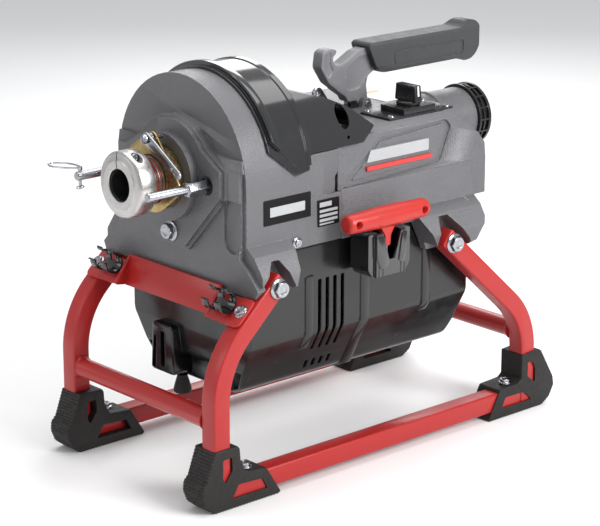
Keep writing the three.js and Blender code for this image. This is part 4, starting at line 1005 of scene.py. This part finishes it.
def turn_about_spindle(piece, angle):
    piece.rotation_euler.y = angle
    centre = at(0, 0, SPINDLE_Z)
    piece.location = centre - piece.rotation_euler.to_matrix() @ centre
    return settle(piece)


def hull_outline(*rings):
    """The tight outline round some circles."""
    points = sorted({(round(x, 4), round(y, 4)) for ring in rings for x, y in ring})

    def half(run):
        out = []
        for q in run:
            while len(out) > 1:
                (ax, ay), (bx, by) = out[-2], out[-1]
                if (ax - bx) * (q[1] - by) - (ay - by) * (q[0] - bx) < 0:
                    break
                out.pop()
            out.append(q)
        return out[:-1]

    return half(points) + half(points[::-1])


class MakeLatch(MachineStep):
    """Makes the yellow plated plate, its swinging link, spring and screw"""
    bl_idname = "drain_machine.latch"
    bl_label = "Latch"

    def execute(self, context):
        z = SPINDLE_Z
        outline = hull_outline(circle(0, z, 42, 64), circle(4, 438, 10, 32), circle(-32, 416, 10, 32),
                               circle(44, 384, 13, 32))
        plate = soften(prism(outline, "Y", -260.5, -257.3), 0.6, 2)
        carve(plate, turned([(0, -270), (31, -270), (31, -250), (0, -250)], "Y", 0, z, 80),
              rod("Y", 3.5, -270, -250, 4, 440, 24, 0.1))
        boss = turned([(31, -257.5), (38, -257.5), (38, -256), (40, -254), (40, -241.5), (31, -241.5)], "Y", 0, z, 80, True)
        finish(gather(plate, boss), "latch_plate_yellow", FINISHES["yellow_plate"], nodes=["latch_plate"])
        arm = soften(prism(hull_outline(circle(4, 440, 8, 32), circle(64, 405, 6, 24)), "Y", -270, -267), 0.5, 2)
        carve(arm, rod("Y", 3.6, -280, -260, 4, 440, 24, 0.1),
              prism(hull_outline(circle(54, 411, 2.2, 16), circle(62, 406.4, 2.2, 16)), "Y", -280, -260))
        finish(arm, "latch_arm", FINISHES["zinc_plate"], "latch", nodes=["latch_link"])
        turns = self.sizes.spring_turns
        coil = []
        for i in range(24 * turns + 1):
            t = i / (24 * turns)
            a = t * turns * math.tau
            coil.append((4 + 6.2 * math.cos(a), -266.2 + 4.6 * t, 440 + 6.2 * math.sin(a)))
        tail = [(4 + 6.2, -266.3, 428), (4 + 6.2, -266.3, 434)]
        spring = wire(tail + coil, min(self.sizes.spring_wire / MM, 0.55))
        finish(spring, "latch_coil", FINISHES["zinc_plate"], nodes=["latch_spring"])
        screw = turned([(0, -275.6), (3.5, -275.4), (5.2, -274.4), (6, -272.8), (6, -271), (5.6, -270.5), (3.3, -270.5),
                        (3.3, -245), (0, -245)], "Y", 4, 440, 40)
        carve(screw, box(3, 5, -280, -274.2, 430, 450), box(-3, 11, -280, -274.2, 439, 441))
        finish(screw, "latch_pivot_screw", FINISHES["zinc_plate"], nodes=["latch_screw"])
        return {"FINISHED"}


class MakePosts(MachineStep):
    """Makes the two plated posts with hexagon feet, and the hitch pin with its wire loop"""
    bl_idname = "drain_machine.posts"
    bl_label = "Posts and hitch pin"

    def execute(self, context):
        z, pin_y = SPINDLE_Z, -316
        plating = FINISHES["zinc_plate"]
        for side, x in (("left", 71), ("right", -71)):
            post = turned([(0, -322), (4.2, -322), (5.0, -321.4), (5.8, -319.8), (5.8, -262.5), (6.6, -261.4),
                           (0, -261.4)], "Y", x, z, 48)
            flats = prism(circle(x, z, 9.8, 6), "Y", -261.8, -231)
            cone = turned([(0, -261.8), (8.2, -261.8), (9.9, -260.6), (9.9, -231), (0, -231)], "Y", x, z, 48)
            soften(clip(flats, cone), 0.3, 2)
            carve(post, rod("Z", 2.2, 370, 400, x, pin_y, 24, 0.1))
            thread = rod("Y", 4, -231.2, -214, x, z, 24)
            finish(gather(post, flats, thread), f"post_plated_{side}", plating, nodes=[f"post_{side}"])
        x = -71
        pin = turned([(0, 371), (1.2, 371.6), (2, 373.5), (2, 394), (3.0, 394.3), (3.4, 395), (3.4, 398.2), (2.8, 399),
                      (0, 399.2)], "Z", x, pin_y, 32)
        loop = []
        knots = [(0, 0), (-14, -12), (-34, -18), (-50, -12), (-52, -2), (-36, 6), (-14, 6)]
        n = len(knots)
        for i in range(n):
            p = [Vector(knots[(i + k) % n]) for k in (-1, 0, 1, 2)]
            for k in range(8):
                t = k / 8
                q = 0.5 * (2 * p[1] + (p[2] - p[0]) * t + (2 * p[0] - 5 * p[1] + 4 * p[2] - p[3]) * t * t
                           + (3 * p[1] - p[0] - 3 * p[2] + p[3]) * t ** 3)
                loop.append((x + q.x, pin_y + q.y, 397.5 + q.x * 0.06))
        closed = wire(loop, 1.25, closed=True)
        small = wire([(x + 4.6 * math.cos(t), pin_y + 4.6 * math.sin(t), 381 + 1.2 * math.sin(t))
                      for t in [math.tau * i / 28 for i in range(28)]], 0.8, closed=True)
        small.location.z -= 8.5 * MM
        settle(small)
        finish(gather(pin, closed, small), "hitch_pin_wire", plating, "pin", nodes=["hitch_pin"])
        return {"FINISHED"}


# ---------------------------------------------------------------- lever and switch
class MakeLever(MachineStep):
    """Makes the cast clutch lever with its hook, web and pads, and the link beside it"""
    bl_idname = "drain_machine.lever"
    bl_label = "Clutch lever"

    def execute(self, context):
        outline = [(14, 489), (17, 509), (24, 512.4), (33, 513), (42, 510), (41, 505), (35.5, 502), (36, 494), (42, 489),
                   (50, 490), (64, 497), (77, 504), (92, 507), (110, 503), (125, 502), (125, 483), (114, 478),
                   (98, 469), (95, 458), (98, 438), (94, 429), (82, 428), (78, 438), (62, 438), (59, 445), (45, 454),
                   (38, 460), (28, 467)]
        arm = soften(prism(rounded(outline, 3.2, 3), "X", -9, 9), 1.5, 3, 40)
        dish = [(62, 452), (84, 455), (90, 463), (104, 476), (112, 484), (112, 495), (92, 499), (76, 494), (56, 480)]
        for x0, x1 in ((7.4, 12), (-12, -7.4)):
            carve(arm, soften(prism(rounded(dish, 5, 4), "X", x0, x1), 1.2, 3, 40))
        prong = [(17.5, 491), (20, 506), (32, 509.5), (31, 500), (30, 494), (36, 484), (28, 474)]
        for x0, x1 in ((8, 12), (-12, -8)):
            carve(arm, soften(prism(rounded(prong, 2, 3), "X", x0, x1), 0.8, 2, 40))
        z = SPINDLE_Z
        y = 88
        neck = box(-9, 9, y - 5, y + 5, 421, 432)
        yoke_outer = arc_points(0, z, 38.5, -90, 90, 32) + [(38.5, 380), (34, 380)] \
            + arc_points(0, z, 34, 90, -90, 32) + [(-34, 380), (-38.5, 380)]
        yoke = soften(prism(yoke_outer, "Y", y - 4, y + 4), 0.8, 2, 40)
        pins = [rod("X", 3.4, *sorted((s * 31.5, s * 36)), y, z, 24) for s in (1, -1)]
        eye = rod("X", 4.05, -20, 20, y, 434, 40, 0.1)
        carve(arm, eye)
        finish(gather(arm, neck, yoke, *pins), "lever_casting", FINISHES["lever_paint"], "lever", nodes=["clutch_lever"])
        pin = rod("X", 4, -20, 20, y, 434, 40, 1.0)
        finish(pin, "lever_pivot_pin", FINISHES["zinc_plate"], nodes=["lever_pin"])
        link = soften(prism(hull_outline(circle(26, 452, 8, 32), circle(40, 438, 5, 24)), "X", -14, -9.3), 0.7, 2)
        carve(link, rod("X", 3.5, -20, 0, 26, 452, 24, 0.1))
        finish(link, "lever_side_link", FINISHES["zinc_plate"], "lever", nodes=["lever_link"])
        return {"FINISHED"}


class MakeGrip(MachineStep):
    """Makes the rubber grip: a rounded bar with a flared end and a sunk panel on each side"""
    bl_idname = "drain_machine.grip"
    bl_label = "Grip"

    def execute(self, context):
        side = [(91, 510), (96, 514), (262, 514), (268, 516.5), (274, 521), (280, 522.4), (294, 521), (299, 515),
                (299, 486), (288, 468), (280, 465.6), (274, 467), (266, 471), (260, 472), (124, 471), (112, 473),
                (104, 482)]
        w = 18
        body = soften(prism(rounded(side, 3, 3), "X", -w, w), 0.5, 1, 40)
        section = both_sides([(11, 524), (w, 514), (w, 476), (11, 465)])
        tube = soften(prism(rounded(section, 7, 5), "Y", 80, 310), 0.2, 1, 60)
        clip(body, tube)
        panel = rounded([(136, 500), (268, 498), (268, 478), (136, 477)], 6, 5)
        sunk = rounded([(139, 497), (265, 495), (265, 481), (139, 480)], 4.5, 5)
        shallow = rounded([(137.4, 498.6), (266.6, 496.6), (266.6, 479.4), (137.4, 478.4)], 5.3, 5)
        for s in (1, -1):
            groove = prism(panel, "X", *sorted((s * (w - 1.1), s * (w + 3))))
            island = prism(sunk, "X", *sorted((s * (w - 4), s * (w + 4))))
            carve(groove, island)
            carve(body, prism(shallow, "X", *sorted((s * (w - 0.45), s * (w + 4)))))
            carve(body, groove)
        carve(body, box(-9.2, 9.2, 80, 126, 475, 508))
        finish(body, "grip_moulding", FINISHES["grip_rubber"], "lever", nodes=["grip"], angle=40)
        return {"FINISHED"}


class MakeSwitch(MachineStep):
    """Makes the switch plate with its raised box and cross-head screws, and the rotary knob"""
    bl_idname = "drain_machine.switch"
    bl_label = "Switch"

    def execute(self, context):
        black = FINISHES["switch_plastic"]
        plate = soften(prism(rounded([(44, 50), (101, 50), (101, 166), (44, 166)], 2.5, 4), "Z", 430.3, 433), 0.6, 2)
        raised = soften(prism(rounded([(54, 77), (99, 77), (99, 135), (54, 135)], 2, 3), "Z", 432.5, 441), 0.8, 3)
        finish(gather(plate, raised), "switch_housing", black, nodes=["switch_plate"])
        for i, (x, y) in enumerate(((50, 58), (95, 58), (50, 158), (95, 158))):
            screw = turned([(0, 432.6), (4, 432.6), (4, 434), (3.4, 435), (2.2, 435.4), (0, 435.5)], "Z", x, y, 32)
            carve(screw, box(x - 0.5, x + 0.5, y - 2.6, y + 2.6, 434.4, 436), box(x - 2.6, x + 2.6, y - 0.5, y + 0.5, 434.4, 436))
            finish(screw, f"switch_screw_{i + 1}", FINISHES["zinc_plate"])
        z = 441.3
        disc = turned([(0, z), (15.4, z), (16, z + 0.6), (16, z + 3.6), (14.6, z + 5), (0, z + 5)], "Z", 77, 106, 64)
        bar = prism([(57, z + 4), (97, z + 4), (94, z + 26), (59, z + 26)], "Y", 100, 112)
        soften(bar, 1.6, 4, 30)
        for y in (98.5, 111.2):
            carve(bar, soften(box(62, 91, y, y + 2.3, z + 7, z + 22), 0.6, 2))
        finish(gather(disc, bar), "switch_handle", black, "knob", nodes=["switch_knob"])
        mark = soften(prism([(94.4, z + 25.4), (95.7, z + 12), (96.1, z + 12), (94.9, z + 25.4)], "Y", 104.6, 107.4), 0.1, 1)
        finish(mark, "switch_pointer_mark", FINISHES["mark_white"], "knob")
        return {"FINISHED"}


# ---------------------------------------------------------------- rear guide
class MakeRearGuide(MachineStep):
    """Makes the cast guide tube and the black ribbed guard ring on its end"""
    bl_idname = "drain_machine.rear_guide"
    bl_label = "Rear guide"

    def execute(self, context):
        z = SPINDLE_Z
        tube = turned([(34, 126), (40, 126), (40, 212.6), (41.4, 213), (42, 213.8), (42, 218.2), (41.4, 219),
                       (40, 219.4), (40, 276), (39.4, 276.8), (34.6, 276.8), (34, 276.2)], "Y", 0, z, 96, True)
        finish(tube, "guide_tube_cast", FINISHES["cast_paint"], nodes=["guide_tube"])
        ring = turned([(36, 277.3), (43.4, 277.3), (44, 277.9), (44, 280.4), (43.2, 281), (40, 281), (40, 286.6),
                       (42.6, 287), (42.6, 289.4), (40, 289.8), (40, 295), (43.2, 295), (44, 295.8), (44, 299.2),
                       (43.2, 300), (37, 300), (36, 299)], "Y", 0, z, 96, True)
        ribs = []
        for i in range(self.sizes.guard_ribs):
            rib = box(-1.1, 1.1, 280, 296, z + 39, z + 43.4)
            ribs.append(turn_about_spindle(rib, math.tau * i / self.sizes.guard_ribs))
        finish(gather(ring, *ribs), "guard_ring_ribbed", FINISHES["switch_plastic"], nodes=["guard_ring"])
        return {"FINISHED"}


# ---------------------------------------------------------------- hand tool and its holder
class MakeToolHolder(MachineStep):
    """Makes the black holder with its pocket, notch and tapered prongs"""
    bl_idname = "drain_machine.tool_holder"
    bl_label = "Tool holder"

    def execute(self, context):
        y0 = -8
        outline = rounded([(-44, 308), (-44, 262), (-36, 251), (20, 251), (28, 262), (28, 308)], 3, 3)
        block = soften(prism(outline, "X", 127, 166), 1.2, 3, 40)
        pocket = box(141, 162, y0 - 19, y0 + 19, 255, 313)
        notch = prism([(y0 - 15, 313), (y0 - 3, 272), (y0 + 7, 272), (y0 + 19, 313)], "X", 155, 175)
        lean = prism([(100, 320), (127.3, 320), (129.6, 300), (129.6, 240), (100, 240)], "Y", -80, 80)
        steps = [box(162.5, 170, -46, -33, 250, 312), box(162.5, 170, 17, 30, 250, 312)]
        carve(block, pocket, notch, lean, *steps)
        prongs = []
        for flap in ([(-34, 304), (-21, 304), (-11, 268), (-17, 262), (-27, 262), (-33, 276)],
                     [(11, 304), (19, 304), (17, 274), (12, 262), (5, 268)]):
            prongs.append(soften(prism(rounded(flap, 2, 3), "X", 158, 167.6), 1.0, 2, 40))
        for y in (-29, -22, 9, 15):
            prongs.append(soften(box(161, 167, y, y + 1.6, 250.5, 264), 0.4, 1))
        finish(gather(block, *prongs), "holder_moulding", FINISHES["cover_gloss"],
               nodes=["tool_holder"])
        return {"FINISHED"}


class MakeHandTool(MachineStep):
    """Makes the red T-handle with its two eyes, swollen middle and fin, and the steel blade"""
    bl_idname = "drain_machine.hand_tool"
    bl_label = "Hand tool"

    def execute(self, context):
        x, y, z = 156, -8, 326
        bar = turned([(0, y - 70), (6, y - 70), (9.4, y - 69.2), (11.4, y - 67.4), (12.4, y - 64), (13.0, y - 40),
                      (14, y - 22), (14, y + 22), (13.0, y + 40), (12.4, y + 64), (11.4, y + 67.4), (9.4, y + 69.2),
                      (6, y + 70), (0, y + 70)], "Y", x, z, 64)
        pad = soften(prism(rounded([(y - 26, z + 8), (y + 24, z + 8), (y + 20, z - 8), (y - 22, z - 8)], 4, 4),
                           "X", x - 13, x + 13.3), 1.6, 3)
        fuse(bar, pad)
        web = prism(rounded([(y - 17, z - 6), (y + 17, z - 6), (y + 5, z - 24), (y + 4, z - 38), (y - 4, z - 38),
                             (y - 5, z - 24)], 3, 3), "X", x - 4.5, x + 4.5)
        fuse(bar, soften(web, 1.2, 3, 40))
        for dy in (-57, 57):
            carve(bar, turned([(0, x - 20), (5.2, x - 20), (5.2, x - 11.5), (3.6, x - 9), (3.6, x + 9), (5.2, x + 11.5),
                               (5.2, x + 20), (0, x + 20)], "X", y + dy, z, 40))
        finish(bar, "tool_grip", FINISHES["handle_plastic"], "tool", nodes=["tool_handle"], angle=38)
        blade = prism(circle(x, y, 2.9, 6), "Z", z - 66, z - 20.5)
        soften(blade, 0.3, 2)
        finish(blade, "tool_blade", FINISHES["dark_steel"], "tool", nodes=["tool_stem"])
        return {"FINISHED"}


# ---------------------------------------------------------------- labels and inner parts
class MakeLabels(MachineStep):
    """Makes the plain plates on the body: a black one, a pale one and a red stripe, with no lettering"""
    bl_idname = "drain_machine.labels"
    bl_label = "Plain labels"

    def execute(self, context):
        name_plate = soften(prism(rounded([(-186, 338), (-109, 338), (-109, 370), (-186, 370)], 1.5, 3),
                                  "X", 125.4, 126.8), 0.25, 1)
        finish(name_plate, "side_plate_black", FINISHES["label_black"])
        bar = prism(rounded([(-176, 348), (-119, 348), (-119, 360), (-176, 360)], 1.2, 3), "X", 126.6, 127.05)
        finish(bar, "side_plate_bar", FINISHES["label_pale"])
        stripe = soften(prism([(-4, 375.6), (112, 375.6), (112, 381), (-4, 381)], "X", 112.6, 116.6), 0.2, 1)
        finish(stripe, "side_stripe_red", FINISHES["stripe_red"])
        band = prism(rounded([(-2, 386), (108, 386), (108, 401), (4, 401)], 1.5, 3), "X", 109.6, 114.0)
        finish(band, "side_band_pale", FINISHES["label_pale"])
        rating = prism(rounded([(-97, 321), (-61, 321), (-61, 355), (-97, 355)], 1.2, 3), "X", 124.0, 126.3)
        finish(rating, "rating_plate_black", FINISHES["label_black"])
        fields = [prism([(-94, z), (end, z), (end, z + h), (-94, z + h)], "X", 126.2, 126.5)
                  for z, h, end in ((346, 6, -74), (339, 3.5, -64), (333, 3.5, -64), (327, 3.5, -64), (323, 2, -70))]
        finish(gather(*fields), "rating_plate_fields", FINISHES["label_pale"])
        roof = prism(rounded([(-50, 126), (14, 126), (14, 168), (-50, 168)], 1.5, 3), "Z", 430.2, 430.7)
        finish(roof, "roof_label_pale", FINISHES["label_white"])
        strip = prism([(-48, 128), (-38, 128), (-38, 166), (-48, 166)], "Z", 430.6, 430.85)
        finish(strip, "roof_label_strip", FINISHES["stripe_orange"])
        return {"FINISHED"}


class DressInnerParts(MachineStep):
    """Gives the drive parts that stay as they are their own finishes"""
    bl_idname = "drain_machine.inner_parts"
    bl_label = "Inner parts"

    def execute(self, context):
        kept = {"belt": "belt_rubber", "bearing_front": "dark_steel", "bearing_rear": "dark_steel",
                "spindle_pulley": "dark_steel", "motor_can": "dark_steel", "motor_rotor": "zinc_plate",
                "clutch_sleeve": "dark_steel", "clutch_jaw_1": "dark_steel", "clutch_jaw_2": "dark_steel",
                "clutch_jaw_3": "dark_steel"}
        for node, name in kept.items():
            slots = frame["nodes"][node].data.materials
            slots.clear()
            slots.append(FINISHES[name])
        return {"FINISHED"}


# ---------------------------------------------------------------- stage
def soft_lamp(name, place, target, power, size):
    data = bpy.data.lights.new(name, "AREA")
    data.shape = "RECTANGLE"
    data.size, data.size_y = size
    data.energy = power
    lamp = bpy.data.objects.new(name, data)
    bpy.context.scene.collection.objects.link(lamp)
    lamp.location = place
    lamp.rotation_euler = (Vector(target) - Vector(place)).to_track_quat("-Z", "Y").to_euler()
    return lamp


class MakeStage(MachineStep):
    """Makes the finishes, floor, soft studio light and camera"""
    bl_idname = "drain_machine.stage"
    bl_label = "Stage"

    def execute(self, context):
        make_all_finishes(self.sizes, self.colours)
        for o in frame["nodes"].values():
            o.select_set(False)
        floor_finish = bpy.data.materials.new("floor_pale")
        floor_finish.use_nodes = True
        shader = floor_finish.node_tree.nodes["Principled BSDF"]
        shader.inputs["Base Color"].default_value = (*self.colours.floor, 1)
        shader.inputs["Roughness"].default_value = 0.9
        shader.inputs["Specular IOR Level"].default_value = 0.2
        deselect()
        bpy.ops.mesh.primitive_plane_add(size=40, location=(0, 0, 0))
        floor = bpy.context.object
        floor.name = "floor"
        floor.data.materials.append(floor_finish)
        world = bpy.data.worlds.new("studio")
        context.scene.world = world
        context.scene.view_settings.view_transform = "Standard"
        world.use_nodes = True
        world.node_tree.nodes["Background"].inputs["Color"].default_value = (0.97, 0.98, 1.0, 1)
        world.node_tree.nodes["Background"].inputs["Strength"].default_value = 0.55
        middle = (0, 0, 0.25)
        soft_lamp("key", (2.3, 0.5, 1.5), middle, 68, (1.3, 1.0))
        soft_lamp("front", (-0.9, -2.2, 1.2), middle, 9, (1.4, 1.0))
        soft_lamp("top", (-0.2, 0.3, 2.4), middle, 38, (2.6, 2.2))
        soft_lamp("back", (-1.6, 1.6, 1.4), middle, 14, (1.0, 1.2))
        data = bpy.data.cameras.new("view")
        data.sensor_width = 36
        data.lens = 133.06
        camera = bpy.data.objects.new("view", data)
        context.scene.collection.objects.link(camera)
        camera.location = (2.09975, -1.87302, 1.0615)
        aim = Vector((-0.00925, 0.00078, 0.2280)) - camera.location
        camera.rotation_euler = aim.to_track_quat("-Z", "Y").to_euler()
        context.scene.camera = camera
        return {"FINISHED"}


STEPS = (MakeStage, MakeFrameTubes, MakeCrossPlate, MakeClips, MakeFeet, MakeBolts, MakeBodyCasting, MakeRearCover,
         MakeClutchCover, MakeMotorCover, MakeSpindleFront, MakeLatch, MakePosts, MakeLever, MakeGrip, MakeSwitch,
         MakeRearGuide, MakeToolHolder, MakeHandTool, MakeLabels, DressInnerParts)


class MachinePanel(bpy.types.Panel):
    """Lists the machine's sizes, colours and steps"""
    bl_label = "Drain machine"
    bl_idname = "VIEW3D_PT_drain_machine"
    bl_space_type = "VIEW_3D"
    bl_region_type = "UI"
    bl_category = "Drain machine"

    def draw(self, context):
        layout = self.layout
        for group in (context.scene.machine_sizes, context.scene.machine_colours):
            box_layout = layout.box()
            for name in group.bl_rna.properties.keys():
                if name not in ("rna_type", "name"):
                    box_layout.prop(group, name)
        for step in STEPS:
            layout.operator(step.bl_idname)


CLASSES = (MachineSizes, MachineColours, *STEPS, MachinePanel)


def register():
    for cls in CLASSES:
        bpy.utils.register_class(cls)
    bpy.types.Scene.machine_sizes = PointerProperty(type=MachineSizes)
    bpy.types.Scene.machine_colours = PointerProperty(type=MachineColours)


def unregister():
    del bpy.types.Scene.machine_colours
    del bpy.types.Scene.machine_sizes
    for cls in reversed(CLASSES):
        bpy.utils.unregister_class(cls)


def write_sizes():
    """Brings the view layer up to date."""
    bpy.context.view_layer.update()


def main():
    register()
    for step in STEPS:
        group, name = step.bl_idname.split(".")
        getattr(getattr(bpy.ops, group), name)()
    deselect()
    write_sizes()


if __name__ == "__main__":
    main()
